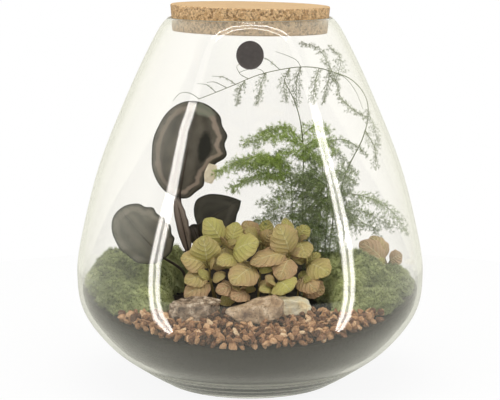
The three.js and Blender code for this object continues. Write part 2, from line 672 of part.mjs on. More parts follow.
// A spray is one closed mesh: faces of its rib are drawn out into twigs and needles, and faces of the
// twigs into needles, wherever they stand clear of the rest
function makeSpray(path, spacing, twigLength, random, isClear) {
  const { ribFoot, ribTop, ribSides, band, needleLength, lean, clearance, probes } = FERN;
  const points = [];
  const index = [];
  const taken = [];
  const addRing = (ring) => ring.map((point) => points.push(point) - 1);
  const addQuad = ([a, b, c, d]) => index.push(a, b, c, a, c, d);
  const addTip = (ring, tip) => ring.forEach((a, k) => index.push(a, ring[(k + 1) % ring.length], tip));
  const stripes = (low, high) =>
    low.map((a, k) => [a, low[(k + 1) % low.length], high[(k + 1) % low.length], high[k]]);
  const middleOf = (ring) => {
    const sum = new THREE.Vector3();
    ring.forEach((corner) => sum.add(points[corner]));
    return sum.divideScalar(ring.length);
  };
  const stands = (root, direction, length) => {
    const samples = probes.map((share) => root.clone().addScaledVector(direction, length * share));
    if (samples.some((a) => taken.some((b) => a.distanceTo(b) < 2 * clearance))) return false;
    const side = new THREE.Vector3(0.3, 0.5, 0.8).cross(direction).setLength(clearance);
    const corners = [side, side.clone().cross(direction).negate(), side.clone().negate()];
    const foot = corners.map((corner) => corner.add(root));
    const tip = root.clone().addScaledVector(direction, length + clearance);
    if (!isClear(toSolid(toMesh([...foot, tip], [0, 1, 2, 0, 3, 1, 1, 3, 2, 2, 3, 0])))) return false;
    taken.push(...samples);
    return true;
  };
  const drawOut = (face, direction, length, isTwig) => {
    const root = middleOf(face);
    if (!stands(root, direction, length)) return addQuad(face);
    const slice = (reach, scale) =>
      face.map((corner) => root.clone().lerp(points[corner], scale).addScaledVector(direction, reach));
    const tip = points.push(root.clone().addScaledVector(direction, length)) - 1;
    if (!isTwig) return addTip(face, tip);
    const low = addRing(slice(0.5 * length, 0.8));
    const high = addRing(slice(0.5 * length + band, 0.75));
    stripes(face, low).forEach(addQuad);
    const middle = middleOf([...low, ...high]);
    for (const stripe of stripes(low, high)) {
      const out = middleOf(stripe).sub(middle).normalize();
      const aim = out.addScaledVector(direction, lean).normalize();
      drawOut(stripe, aim, needleLength * (0.8 + 0.4 * random()), false);
    }
    return addTip(high, tip);
  };
  const rib = throughPoints(path);
  const length = rib.getLength();
  const bands = Math.max(2, Math.round(length / spacing));
  const starts = Array.from({ length: bands }, (_, i) => (i + 0.75) / bands);
  const shares = [0, ...starts.flatMap((start) => [start, start + band / length])];
  const radiusAt = (share) => THREE.MathUtils.lerp(ribFoot, ribTop, share);
  const rings = ringsAlong(rib, shares, radiusAt, ribSides).map(addRing);
  index.push(rings[0][2], rings[0][1], rings[0][0]);
  for (let i = 0; i < bands; i++) {
    const [before, low, high] = rings.slice(2 * i);
    stripes(before, low).forEach(addQuad);
    const along = rib.getTangent(starts[i]);
    const middle = middleOf([...low, ...high]);
    stripes(low, high).forEach((stripe, k) => {
      const isTwig = twigLength > 0 && k === i % ribSides;
      const reach = isTwig ? twigLength * Math.sin(Math.PI * (0.15 + 0.7 * starts[i])) : needleLength;
      const out = middleOf(stripe).sub(middle).normalize();
      const aim = out.addScaledVector(along, lean).normalize();
      drawOut(stripe, aim, reach * (0.85 + 0.3 * random()), isTwig);
    });
  }
  addTip(rings.at(-1), points.push(rib.getPoint(1)) - 1);
  return toSolid(toMesh(points, index));
}

function makeFernShoot({ foot, stem, sprays, fine }, seed, neighbours) {
  const random = seededRandom(seed);
  const isClear = (probe) => neighbours.every((solid) => probe.intersect(solid).isEmpty());
  const path = [...footPoints(foot), ...stem.map(vector)];
  const pieces = [tube(path, FERN.stemFoot, FERN.stemTop, FERN.stemSides)];
  for (const spray of sprays) {
    const spacing = fine ? FERN.fineSpacing : FERN.spacing;
    const twigLength = fine ? 0 : FERN.twigLength;
    pieces.push(makeSpray(spray.map(vector), spacing, twigLength, random, isClear));
  }
  return fuse([Manifold.union(pieces)]);
}

// The whole terrarium
const terrarium = new THREE.Group();

function addPiece(name, solid, material) {
  const mesh = new THREE.Mesh(toGeometry(solid), new THREE.MeshStandardMaterial(material));
  mesh.name = name;
  terrarium.add(mesh);
  return mesh;
}

const glass = makeGlass();
addPiece("glass_vessel", glass, { color: 0xf4f7f4, roughness: 0.02, transparent: true, opacity: 0.2 });
const cork = addPiece("cork_stopper", makeCork(), { color: 0xc9a77a, roughness: 0.9 });
cork.position.z = MOUTH_HEIGHT;
cork.rotation.y = CORK_TILT;
addPiece("round_sticker", makeSticker(), { color: 0x3b3735, roughness: 0.5 });

for (const { name, at, corners, color } of STONES) {
  addPiece(name, Manifold.hull(corners).translate(...at), { color, roughness: 0.9 });
}
addPiece("gravel", makeGravel(STONES), { color: 0xb98c72, roughness: 0.9 });

// What grows later keeps clear of what stands already
const grown = [glass];
Object.entries(MOSS).forEach(([name, cushions], i) => {
  grown.push(makeMoss(cushions, CUSHION.seed + i));
  addPiece(name, grown.at(-1), { color: MOSS_COLOR, roughness: 1 });
});
for (const leaf of DARK_LEAVES) {
  grown.push(makeDarkLeaf(leaf));
  addPiece(leaf.name, grown.at(-1), { color: DARK_LEAF_COLOR, roughness: 0.5 });
}
for (const stem of NERVE_STEMS) {
  grown.push(makeNerveStem(stem));
  addPiece(stem.name, grown.at(-1), { color: NERVE_COLOR, roughness: 0.6 });
}
FERN_SHOOTS.forEach((shoot, i) => {
  grown.push(makeFernShoot(shoot, FERN.seed + i, grown));
  addPiece(shoot.name, grown.at(-1), { color: FERN_COLOR, roughness: 0.7 });
});

const holes = [
  ...DARK_LEAVES.map(({ foot }) => makeHole(foot, STALK.foot)),
  ...NERVE_STEMS.map(({ foot }) => makeHole(foot, NERVE_STEM.foot)),
  ...FERN_SHOOTS.map(({ foot }) => makeHole(foot, FERN.stemFoot)),
];
addPiece("soil", ground.intersect(inside).subtract(Manifold.union(holes)), { color: 0x3a302a, roughness: 1 });

export default terrarium;
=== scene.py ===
"""Looks of a closed glass plant terrarium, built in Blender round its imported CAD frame.

Lengths in the tables are millimetres in the frame's own axes: +Z up, the front towards -Y and the origin
at the centre of the foot. Blender works in metres, so each mesh is scaled once, when it is made.
"""

from __future__ import annotations

import logging
import math
from dataclasses import dataclass
from enum import Enum
from functools import cached_property
from typing import Any, Callable, Iterable, Sequence

import bmesh
import bpy
import numpy as np
from mathutils import Matrix, Vector, noise

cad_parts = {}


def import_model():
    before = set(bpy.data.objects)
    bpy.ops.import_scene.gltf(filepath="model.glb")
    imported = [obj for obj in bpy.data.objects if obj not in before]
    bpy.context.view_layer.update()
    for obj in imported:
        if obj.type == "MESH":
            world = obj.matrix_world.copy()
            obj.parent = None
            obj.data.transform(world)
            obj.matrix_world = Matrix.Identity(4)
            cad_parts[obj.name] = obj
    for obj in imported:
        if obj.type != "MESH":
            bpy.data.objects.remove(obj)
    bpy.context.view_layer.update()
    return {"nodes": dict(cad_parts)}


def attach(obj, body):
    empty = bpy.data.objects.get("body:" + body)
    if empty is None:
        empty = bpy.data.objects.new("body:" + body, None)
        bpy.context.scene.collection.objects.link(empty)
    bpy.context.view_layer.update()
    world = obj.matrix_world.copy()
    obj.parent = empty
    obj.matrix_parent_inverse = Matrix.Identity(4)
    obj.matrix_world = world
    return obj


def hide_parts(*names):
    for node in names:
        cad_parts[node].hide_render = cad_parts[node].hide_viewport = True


LOG = logging.getLogger("terrarium")
MM = 0.001
BODY = "root"
UP = np.array([0.0, 0.0, 1.0])

Array = np.ndarray
Random = np.random.Generator
Piece = bpy.types.Object
Place = tuple[float, float, float]
Spot = tuple[float, float]
Path = tuple[Place, ...]


def linear(colour: str) -> tuple[float, float, float, float]:
    """Turns an sRGB hex colour to linear light.

    Args:
        colour: the colour as "#rrggbb".

    Returns:
        Red, green, blue and an alpha of 1.
    """
    parts = [int(colour[i : i + 2], 16) / 255 for i in (1, 3, 5)]
    red, green, blue = (p / 12.92 if p <= 0.04045 else ((p + 0.055) / 1.055) ** 2.4 for p in parts)
    return red, green, blue, 1.0


def per_metre(size_mm: float) -> float:
    """Gives the texture scale whose features are size_mm wide."""
    return 1 / (size_mm * MM)


@dataclass(frozen=True)
class Field:
    """A number or colour that varies over a surface. Sums with it add the nodes that work them out."""

    palette: Palette
    node: Any
    output: int | str

    def __getitem__(self, output: int | str) -> Field:
        """Gives another output of the same node."""
        return Field(self.palette, self.node, output)

    def worked(self, operation: str, *others: Any) -> Field:
        """Works a number out from this one, and perhaps others, by one of the named sums."""
        return self.palette.add("Math", {"operation": operation}, dict(enumerate((self, *others))))

    def __add__(self, other: Any) -> Field:
        """Adds a number."""
        return self.worked("ADD", other)

    def __sub__(self, other: Any) -> Field:
        """Takes a number away."""
        return self.worked("SUBTRACT", other)

    def __rsub__(self, other: float) -> Field:
        """Takes this away from a number."""
        return self.palette.add("Math", {"operation": "SUBTRACT"}, {0: other, 1: self})

    def __mul__(self, other: Any) -> Field:
        """Multiplies by a number."""
        return self.worked("MULTIPLY", other)

    def __truediv__(self, other: Any) -> Field:
        """Divides by a number."""
        return self.worked("DIVIDE", other)

    def __pow__(self, power: float) -> Field:
        """Raises this to a power."""
        return self.worked("POWER", power)

    def __abs__(self) -> Field:
        """Drops the sign."""
        return self.worked("ABSOLUTE")

    def most(self, other: Any) -> Field:
        """Gives the larger number."""
        return self.worked("MAXIMUM", other)

    def least(self, other: Any) -> Field:
        """Gives the smaller number."""
        return self.worked("MINIMUM", other)

    def clamped(self) -> Field:
        """Keeps the number just worked out between 0 and 1."""
        self.node.use_clamp = True
        return self

    def rise(self, start: Any, steepness: float) -> Field:
        """Climbs from 0, where the number is start, to 1 and no further."""
        return ((self - start) * steepness).clamped()

    def blend(self, first: Any, second: Any) -> Field:
        """Goes from the first number, where this is 0, to the second, where it is 1."""
        return self.palette.add("Mix", None, {0: self, 2: first, 3: second})

    def between(self, first: Any, second: Any) -> Field:
        """Goes from the first colour, where this is 0, to the second, where it is 1."""
        return self.palette.add("Mix", {"data_type": "RGBA"}, {0: self, 6: first, 7: second}, 2)


class Palette:
    """The node tree of a material or of the surroundings."""

    def __init__(self, tree: Any) -> None:
        """Starts on an empty tree."""
        self.tree = tree
        tree.nodes.clear()

    def add(
        self,
        kind: str,
        settings: dict[str, Any] | None = None,
        inputs: dict[int | str, Any] | None = None,
        output: int | str = 0,
    ) -> Field:
        """Adds a shader node with its settings and links.

        Args:
            kind: the node's type, without its first word.
            settings: values of the node's own properties. "stops" sets a colour ramp's places and colours.
            inputs: for a socket's name or number, the field that feeds it, its value or its sRGB colour.
            output: the output that is wanted.

        Returns:
            The output.
        """
        node = self.tree.nodes.new("ShaderNode" + kind)
        for key, value in (settings or {}).items():
            if key != "stops":
                setattr(node, key, value)
                continue
            elements = node.color_ramp.elements
            for place, _ in value[len(elements) :]:
                elements.new(place)
            for element, (place, colour) in zip(elements, value):
                element.position, element.color = place, linear(colour)
        for key, value in (inputs or {}).items():
            if isinstance(value, Field):
                self.tree.links.new(value.node.outputs[value.output], node.inputs[key])
            else:
                node.inputs[key].default_value = linear(value) if isinstance(value, str) else value
        return Field(self, node, output)

    def grain(self, size_mm: float, detail: float = 2.0) -> Field:
        """Lays a soft random pattern, from 0 to 1, with features of size_mm."""
        place = self.add("TexCoord", output="Object")
        return self.add("TexNoise", None, {"Vector": place, "Scale": per_metre(size_mm), "Detail": detail})

    def skin(
        self, colour: Any, roughness: float, height: Field | None = None, relief_mm: float = 0, **extra: float
    ) -> Field:
        """Adds a surface with its relief.

        Args:
            colour: the colour.
            roughness: the roughness.
            height: the relief's height, from 0 to 1.
            relief_mm: how high the relief is.
            extra: further values of the surface by name, with _ for a space.

        Returns:
            The shader.
        """
        inputs = {"Base Color": colour, "Roughness": roughness}
        inputs.update({key.replace("_", " "): value for key, value in extra.items()})
        if height is not None:
            inputs["Normal"] = self.add("Bump", None, {"Distance": relief_mm * MM, "Height": height})
        return self.add("BsdfPrincipled", None, inputs)


@dataclass(frozen=True)
class Finish:
    """A surface, named for what it is made of and how. paint() draws it."""

    name: str

    def paint(self, on: Palette) -> Field:
        """Adds the surface's nodes and gives its shader."""
        raise NotImplementedError

    def material(self) -> bpy.types.Material:
        """Makes the material, or finds the one made before.

        Returns:
            The material.
        """
        known = bpy.data.materials.get(self.name)
        if known:
            return known
        material = bpy.data.materials.new(self.name)
        material.use_nodes = True
        on = Palette(material.node_tree)
        on.add("OutputMaterial", None, {"Surface": self.paint(on)})
        return material


@dataclass(frozen=True)
class BlownGlass(Finish):
    """Soda-lime glass, blown in a mould: clear, with a breath of green, and very smooth."""

    name: str = "soda_lime_glass_blown"
    tint: str = "#faf9f6"
    ior: float = 1.5

    def paint(self, on: Palette) -> Field:
        """Adds the glass, which lets lamps and scattered light through to what is behind it.

        Args:
            on: the nodes that it adds to.

        Returns:
            The shader.
        """
        glass = on.skin(self.tint, roughness=0.0, IOR=self.ior, Transmission_Weight=1.0)
        path = on.add("LightPath")
        through = path["Is Shadow Ray"].most(path["Is Diffuse Ray"])
        clear = on.add("BsdfTransparent", None, {"Color": self.tint})
        return on.add("MixShader", None, {0: through, 1: glass, 2: clear})


@dataclass(frozen=True)
class PaintedBandGlass(Finish):
    """Pale, half-clear glass on the foot's ring bands and on the rim, as painted light: bright bands where
    the thick clear foot bends the light, and a painted highlight on the rim.
    """

    name: str = "soda_lime_glass_painted_bands"
    tint: str = "#c9c7b6"
    ior: float = 1.5
    clear: float = 0.55

    def paint(self, on: Palette) -> Field:
        """Adds the pale surface of the painted bands and highlight, which lets about half of the light in."""
        return on.skin(self.tint, roughness=0.35, Transmission_Weight=self.clear, IOR=self.ior)


@dataclass(frozen=True)
class PressedCork(Finish):
    """Cork granules pressed with a binder, dark between them, and paler in the mouth of the glass by a
    painted reflection of the glass.
    """

    name: str = "cork_pressed_granules"
    pale: str = "#ebc795"
    middle: str = "#c99f6a"
    dark: str = "#694b2b"
    # Tone and share of the painted reflection that makes the cork paler in the mouth of the glass.
    painted_reflection: str = "#e8dccb"
    painted_reflection_share: float = 0.35
    mouth_mm: float = 283.0
    granule_mm: float = 1.9
    speck_mm: float = 1.6

    def paint(self, on: Palette) -> Field:
        """Adds the granules, their gaps, the specks and the painted reflection.

        Args:
            on: the nodes that it adds to.

        Returns:
            The shader.
        """
        place = on.add("TexCoord", output="Object")
        layout = {"Vector": place, "Scale": per_metre(self.granule_mm)}
        cells = on.add("TexVoronoi", None, layout)
        edges = on.add("TexVoronoi", {"feature": "DISTANCE_TO_EDGE"}, layout)
        stops = [(0.0, self.dark), (0.25, self.middle), (0.6, self.pale), (1.0, self.middle)]
        granules = on.add("ValToRGB", {"stops": stops}, {0: cells["Color"]})
        gap = 1.0 - (edges * 7.0).clamped()
        specks = on.grain(self.speck_mm, detail=4.0).rise(0.56, 14.0)
        dirt = (gap * 0.55).most(specks)
        colour = (dirt * 0.75).between(granules, self.dark)
        # The painted reflection of the glass starts at the rim of the glass and is full 1 mm below it.
        below = self.mouth_mm * MM - on.add("SeparateXYZ", None, {0: place})["Z"]
        colour = ((below * per_metre(1.0)).clamped() * self.painted_reflection_share).between(colour, self.painted_reflection)
        return on.skin(colour, roughness=0.85, height=edges - specks, relief_mm=0.7)


@dataclass(frozen=True)
class PlanedCork(Finish):
    """The cork's top, planed and sanded: pale, with soft streaks and few specks."""

    name: str = "cork_planed"
    pale: str = "#c8a97c"
    warm: str = "#ba9464"
    speck: str = "#9c7548"
    streak_mm: float = 14.0
    speck_mm: float = 1.8

    def paint(self, on: Palette) -> Field:
        """Adds soft streaks and small specks.

        Args:
            on: the nodes that it adds to.

        Returns:
            The shader.
        """
        base = on.grain(self.streak_mm, detail=4.0).between(self.pale, self.warm)
        specks = on.grain(self.speck_mm, detail=4.0).rise(0.6, 10.0)
        colour = (specks * 0.6).between(base, self.speck)
        return on.skin(colour, roughness=0.75, height=specks, relief_mm=0.15)


@dataclass(frozen=True)
class CoatedPaper(Finish):
    """A sticker of dark coated paper: nearly even, with a soft sheen and a slightly worn rim."""

    name: str = "paper_coated_dark"
    ink: str = "#35312f"
    worn: str = "#4a4542"
    wear_mm: float = 3.0
    # The paper's own tooth is finer than 0.1 mm. It is drawn coarser, so that it shows.
    tooth_mm: float = 0.6

    def paint(self, on: Palette) -> Field:
        """Adds the ink, a little uneven, and paler at the rim.

        Args:
            on: the nodes that it adds to.

        Returns:
            The shader.
        """
        rim = on.add("Attribute", {"attribute_name": "edge"}, output="Fac") * 0.6
        colour = (rim + on.grain(self.wear_mm)).clamped().between(self.ink, self.worn)
        tooth = on.grain(self.tooth_mm)
        return on.skin(colour, roughness=0.6, height=tooth, relief_mm=0.02, Specular_IOR_Level=0.15)


@dataclass(frozen=True)
class PottingSoil(Finish):
    """Damp potting soil: dark crumbs with paler fibres between them."""

    name: str = "potting_soil_damp"
    wet: str = "#16110a"
    crumb: str = "#2a2116"
    fibre: str = "#45392a"
    crumb_mm: float = 3.0
    fibre_mm: float = 0.9

    def paint(self, on: Palette) -> Field:
        """Adds the crumbs and the fibres.

        Args:
            on: the nodes that it adds to.

        Returns:
            The shader.
        """
        crumbs = on.grain(self.crumb_mm, detail=5.0)
        fibres = on.grain(self.fibre_mm, detail=3.0).rise(0.58, 9.0)
        colour = (fibres * 0.5).between(crumbs.between(self.wet, self.crumb), self.fibre)
        return on.skin(colour, roughness=0.9, height=crumbs, relief_mm=1.0)


@dataclass(frozen=True)
class CrushedGravel(Finish):
    """Crushed stone, pinkish brown: each grain has its own tone, with dusty faces."""

    name: str = "gravel_crushed"
    stops: tuple[tuple[float, str], ...] = (
        (0.0, "#33200f"), (0.3, "#785239"), (0.6, "#b4875f"), (0.85, "#d4a980"), (1.0, "#ecd0ac"),
    )
    mottle_mm: float = 1.5
    # The crystals in a grain are about 0.3 mm. They are drawn coarser, so that they show.
    crystal_mm: float = 0.9

    def paint(self, on: Palette) -> Field:
        """Adds a tone for each grain, with mottling and a rough face.

        Args:
            on: the nodes that it adds to.

        Returns:
            The shader.
        """
        mottle = (on.grain(self.mottle_mm, detail=4.0) - 0.5) * 0.9
        tone = (on.add("Attribute", {"attribute_name": "tint"}, output="Fac") + mottle).clamped()
        colour = on.add("ValToRGB", {"stops": self.stops}, {0: tone})
        return on.skin(colour, roughness=0.7, height=on.grain(self.crystal_mm, detail=4.0), relief_mm=0.25)


class StoneTone(Enum):
    """The kinds of broken stone, as dark, middle and pale colours."""

    GREY = ("#4b3c2f", "#a8927c", "#f2e2ce")
    BANDED = ("#755f4f", "#c6aa8b", "#f0dcc2")
    CREAM = ("#ffe2ac", "#fff3d0", "#fffcec")


@dataclass(frozen=True)
class BrokenStone(Finish):
    """Rough broken stone: mottled, darker in its pores and paler where its relief is high."""

    tone: StoneTone
    mottle_mm: float
    pores: float
    # Pores in such stone are about 0.5 mm. They are drawn coarser, so that they show.
    pore_mm: float = 1.1

    def paint(self, on: Palette) -> Field:
        """Adds the mottling, the pores and a rough face.

        Args:
            on: the nodes that it adds to.

        Returns:
            The shader.
        """
        dark, middle, pale = self.tone.value
        mottle = on.grain(self.mottle_mm, detail=6.0)
        base = on.add("ValToRGB", {"stops": [(0.3, dark), (0.5, middle), (0.68, pale)]}, {0: mottle})
        pits = on.grain(self.pore_mm, detail=5.0).rise(0.55, 10.0)
        colour = (pits * self.pores).between(base, dark)
        return on.skin(colour, roughness=0.85, height=mottle - pits, relief_mm=0.6)


@dataclass(frozen=True)
class CushionMoss(Finish):
    """Living cushion moss in bright clumps, with painted shade that darkens it between its tufts and painted
    light on their yellow-green tips.
    """

    name: str = "moss_cushion"
    deep: str = "#3a4120"
    green: str = "#828d5c"
    bright: str = "#d8e0a2"
    clump_mm: float = 9.0

    def paint(self, on: Palette) -> Field:
        """Adds the tuft's own tint, which runs from painted shade at its foot to painted light at its tip.

        Args:
            on: the nodes that it adds to.

        Returns:
            The shader.
        """
        tint = on.add("Attribute", {"attribute_name": "tint"}, output="Fac") + on.grain(self.clump_mm)
        stops = [(0.12, self.deep), (0.45, self.green), (0.9, self.bright)]
        colour = on.add("ValToRGB", {"stops": stops}, {0: (tint * 0.6).clamped()})
        return on.skin(colour, roughness=0.8)


@dataclass(frozen=True)
class PrayerLeaf(Finish):
    """A dark satin leaf: blackish green at its margin, a pale ring inside it, and streaks along its veins."""

    margin: str = "#23261c"
    ring: str = "#a8988a"
    field: str = "#6b655a"
    streak: str = "#35312b"
    bleached: str = "#8b9182"
    black: str = "#14150f"
    ring_mm: float = 5.4
    ring_width_mm: float = 2.4
    rim_mm: float = 1.6
    faint_side: float = 0.45
    # A leaf has about ten veins a side. Fewer and broader ones are drawn, so that they show.
    streaks: float = 4.0
    streak_bend_mm: float = 14.0
    cloud_mm: float = 12.0
    ring_bend_mm: float = 6.0
    patch_edge_mm: float = 5.0
    pale_patch: tuple[Spot, Spot] = ((0.93, 0.35), (0.07, 0.5))
    black_patch: tuple[Spot, Spot] = ((0.57, 0.44), (0.17, 0.2))
    blotch: float = 0.0

    def paint(self, on: Palette) -> Field:
        """Adds the streaks, the ring, the margin and, on a blotched leaf, its black blotch and pale patch.

        Args:
            on: the nodes that it adds to.

        Returns:
            The shader.
        """
        names = ("edge", "along", "across")
        edge, along, across = (on.add("Attribute", {"attribute_name": name}, output="Fac") for name in names)
        phase = across * (self.streaks * math.pi) + on.grain(self.streak_bend_mm, detail=3.0) * 5.0
        wave = (phase.worked("SINE") + 1.0) * 0.25
        cloud = on.grain(self.cloud_mm, detail=3.0).rise(0.4, 2.5)
        colour = (wave + cloud * 0.5).clamped().between(self.field, self.streak)
        # The ring wanders by up to 2 mm to either side.
        far = abs(edge - on.grain(self.ring_bend_mm) * 4.0 - (self.ring_mm - 2.0))
        near = (1.0 - far / self.ring_width_mm).clamped()
        strong = ((across + 0.3) * 3.0).clamped().blend(self.faint_side, 0.95)
        colour = ((near * 1.6).clamped() * strong).between(colour, self.ring)
        rim = (1.0 - edge / self.rim_mm).clamped()
        colour = (rim**0.6).between(colour, self.margin)
        if self.blotch:
            pale = self.patch(on, (along, across), *self.pale_patch)
            colour = (pale * 0.8).between(colour, self.bleached)
            dark = self.patch(on, (along, across), *self.black_patch)
            colour = (dark * self.blotch).between(colour, self.black)
        midrib = (1.0 - abs(across) * 18.0).clamped()
        return on.skin(colour, roughness=0.5, height=wave - midrib, relief_mm=0.3)

    def patch(self, on: Palette, shares: tuple[Field, Field], middle: Spot, half: Spot) -> Field:
        """Draws a soft oval patch.

        Args:
            on: the leaf's nodes.
            shares: the shares along the leaf and across it.
            middle: the patch's middle, along and across.
            half: half its length and width.

        Returns:
            1 inside and 0 outside.
        """
        along, across = (((share - place) / size) ** 2.0 for share, place, size in zip(shares, middle, half))
        square = along + across
        worn = 1.35 - on.grain(self.patch_edge_mm) * 0.6
        return ((worn - square.worked("SQRT")) * 3.0).clamped()


@dataclass(frozen=True)
class PaleScrap(Finish):
    """A pale cream scrap on a leaf's margin: softly mottled, with fine ribs."""

    name: str = "leaf_scrap_pale"
    pale: str = "#fff8e6"
    dark: str = "#eedcc0"
    mottle_mm: float = 2.4

    def paint(self, on: Palette) -> Field:
        """Adds soft pale mottling."""
        mottle = on.grain(self.mottle_mm, detail=4.0)
        return on.skin(mottle.between(self.pale, self.dark), roughness=0.8, height=mottle, relief_mm=0.3)


@dataclass(frozen=True)
class NerveLeaf(Finish):
    """A thin matt leaf, yellow-green to tan, puckered between its pale net of veins."""

    name: str = "nerve_leaf_matt"
    green: str = "#d4ce77"
    deep: str = "#b0ab5b"
    blush: str = "#c5a07c"
    vein: str = "#f0ebb8"
    pairs: float = 6.0
    blush_mm: float = 12.0
    shade_mm: float = 7.0
    # The net of fine veins has meshes of about 1 mm. They are drawn wider, so that they show.
    net_mm: float = 2.2

    def paint(self, on: Palette) -> Field:
        """Adds the blush towards the margin, the fine veins and soft puckers between them.

        Args:
            on: the nodes that it adds to.

        Returns:
            The shader.
        """
        names = ("along", "across", "tint")
        along, across, warm = (on.add("Attribute", {"attribute_name": name}, output="Fac") for name in names)
        side = abs(across)
        rosy = (warm + side**2.0 * 0.25 + (on.grain(self.blush_mm) - 0.5) * 0.7).clamped()
        base = (on.grain(self.shade_mm, detail=3.0) * 0.8).between(self.green, self.deep)
        phase = (along - side**1.3 * 0.34) * (self.pairs * math.pi)
        ridge = abs(phase.worked("SINE"))
        side_vein = (1.0 - ridge * 3.2).clamped() * (1.1 - side)
        midrib = (1.0 - side * 14.0).clamped()
        layout = {"Vector": on.add("TexCoord", output="Object"), "Scale": per_metre(self.net_mm)}
        net = on.add("TexVoronoi", {"feature": "DISTANCE_TO_EDGE"}, layout)
        lines = side_vein.most(midrib).most((0.35 - net * 5.0).clamped())
        colour = (lines * 0.6).between(rosy.between(base, self.blush), self.vein)
        return on.skin(colour, roughness=0.6, height=ridge - lines, relief_mm=0.4)


@dataclass(frozen=True)
class PlantStem(Finish):
    """A stem or stalk, with soft patches of two colours."""

    first: str
    second: str
    patch_mm: float = 6.0

    def paint(self, on: Palette) -> Field:
        """Adds soft patches of both colours."""
        return on.skin(on.grain(self.patch_mm, detail=3.0).between(self.first, self.second), roughness=0.55)


@dataclass(frozen=True)
class FernNeedle(Finish):
    """Fine fern needles: grey-green, and fresher where the light falls through, a yellower green that is
    partly painted light.
    """

    name: str = "fern_needles"
    deep: str = "#97a380"
    green: str = "#a6bb78"
    fresh_and_lit: str = "#d2ec7a"
    clump_mm: float = 14.0

    def paint(self, on: Palette) -> Field:
        """Adds each spray's own tint, which carries its painted light, with soft clumps.

        Args:
            on: the nodes that it adds to.

        Returns:
            The shader.
        """
        clump = (on.grain(self.clump_mm) - 0.5) * 0.8
        tone = (on.add("Attribute", {"attribute_name": "tint"}, output="Fac") + clump).clamped()
        stops = [(0.1, self.deep), (0.5, self.green), (0.95, self.fresh_and_lit)]
        return on.skin(on.add("ValToRGB", {"stops": stops}, {0: tone}), roughness=0.7)


class Draft:
    """The points, faces and point values of one piece, in millimetres, before its mesh is made."""

    def __init__(self, *names: str) -> None:
        """Starts an empty piece.

        Args:
            names: the names of the values that its points have.
        """
        self.names = names
        self.points: list[Array] = []
        self.faces: list[Array] = []
        self.slots: list[Array] = []
        self.values: dict[str, list[Array]] = {name: [] for name in names}
        self.count = 0

    def add(self, points: Array, *groups: Array, slot: int = 0, **values: Any) -> None:
        """Adds points and the faces between them.

        Args:
            points: the places, one to a row.
            groups: arrays of faces of one size each, numbered from this call's first point.
            slot: the number of the faces' finish.
            values: for a name of the piece's, its value or values at the points. The others are 0.
        """
        self.points.append(points)
        for faces in groups:
            self.faces.append(np.asarray(faces) + self.count)
            self.slots.append(np.full(len(faces), slot))
        for name in self.names:
            row = np.broadcast_to(values.get(name, 0.0), len(points))
            self.values[name].append(row.astype(np.float32))
        self.count += len(points)

    def build(self, name: str, finishes: Sequence[Finish], smooth: bool = True) -> Piece:
        """Makes the piece's mesh and object.

        Args:
            name: the piece's name.
            finishes: the finishes that the faces' slots number.
            smooth: shades the faces as one curved surface.

        Returns:
            The piece.
        """
        mesh = bpy.data.meshes.new(name)
        faces = [face for group in self.faces for face in group.tolist()]
        mesh.from_pydata((np.concatenate(self.points) * MM).tolist(), [], faces)
        mesh.polygons.foreach_set("material_index", np.concatenate(self.slots).astype(np.int32))
        mesh.polygons.foreach_set("use_smooth", np.full(len(faces), smooth))
        for value in self.names:
            layer = mesh.attributes.new(value, "FLOAT", "POINT")
            layer.data.foreach_set("value", np.concatenate(self.values[value]))
        for finish in finishes:
            mesh.materials.append(finish.material())
        mesh.update()
        piece = bpy.data.objects.new(name, mesh)
        bpy.context.scene.collection.objects.link(piece)
        return piece


def settle(piece: Piece, slot: str, node: str) -> None:
    """Lets a finished piece ride on the terrarium in place of its CAD node.

    Args:
        piece: the piece.
        slot: a material slot's name; not used.
        node: the CAD node that it stands for.
    """
    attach(piece, BODY)
    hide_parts(node)
    LOG.info("%s: %d faces for %s", piece.name, len(piece.data.polygons), node)


def unit(vectors: Array) -> Array:
    """Scales vectors to a length of 1."""
    return vectors / np.maximum(np.linalg.norm(vectors, axis=-1, keepdims=True), 1e-9)


def circle(sides: int) -> Array:
    """Gives the cosines and sines of even angles round a turn, one pair to a row."""
    angles = np.arange(sides) * 2 * np.pi / sides
    return np.stack([np.cos(angles), np.sin(angles)], axis=1)


def bumps(points: Array, size: float) -> Array:
    """Gives soft random heights, from -1 to 1, at points. Their features are of this size."""
    return np.array([noise.noise(Vector(point) / size) for point in points])


def smooth_path(knots: Sequence[Place], per_span: int) -> Array:
    """Draws a centripetal Catmull-Rom curve through points.

    Args:
        knots: the points that it goes through.
        per_span: the steps from one point to the next.

    Returns:
        The places along the curve, one to a row.
    """
    row = np.array(knots, float)
    row = np.vstack([2 * row[0] - row[1], row, 2 * row[-1] - row[-2]])
    share = np.linspace(0, 1, per_span, endpoint=False)[:, None]
    spans = []
    for p0, p1, p2, p3 in zip(row, row[1:], row[2:], row[3:]):
        d0, d1, d2 = (math.sqrt(np.linalg.norm(b - a)) for a, b in ((p0, p1), (p1, p2), (p2, p3)))
        start = ((p1 - p0) / d0 - (p2 - p0) / (d0 + d1) + (p2 - p1) / d1) * d1
        end = ((p2 - p1) / d1 - (p3 - p1) / (d1 + d2) + (p3 - p2) / d2) * d1
        square, cube = share**2, share**3
        spans.append(
            (2 * cube - 3 * square + 1) * p1
            + (cube - 2 * square + share) * start
            + (3 * square - 2 * cube) * p2
            + (cube - square) * end
        )
    return np.vstack([*spans, row[-2:-1]])


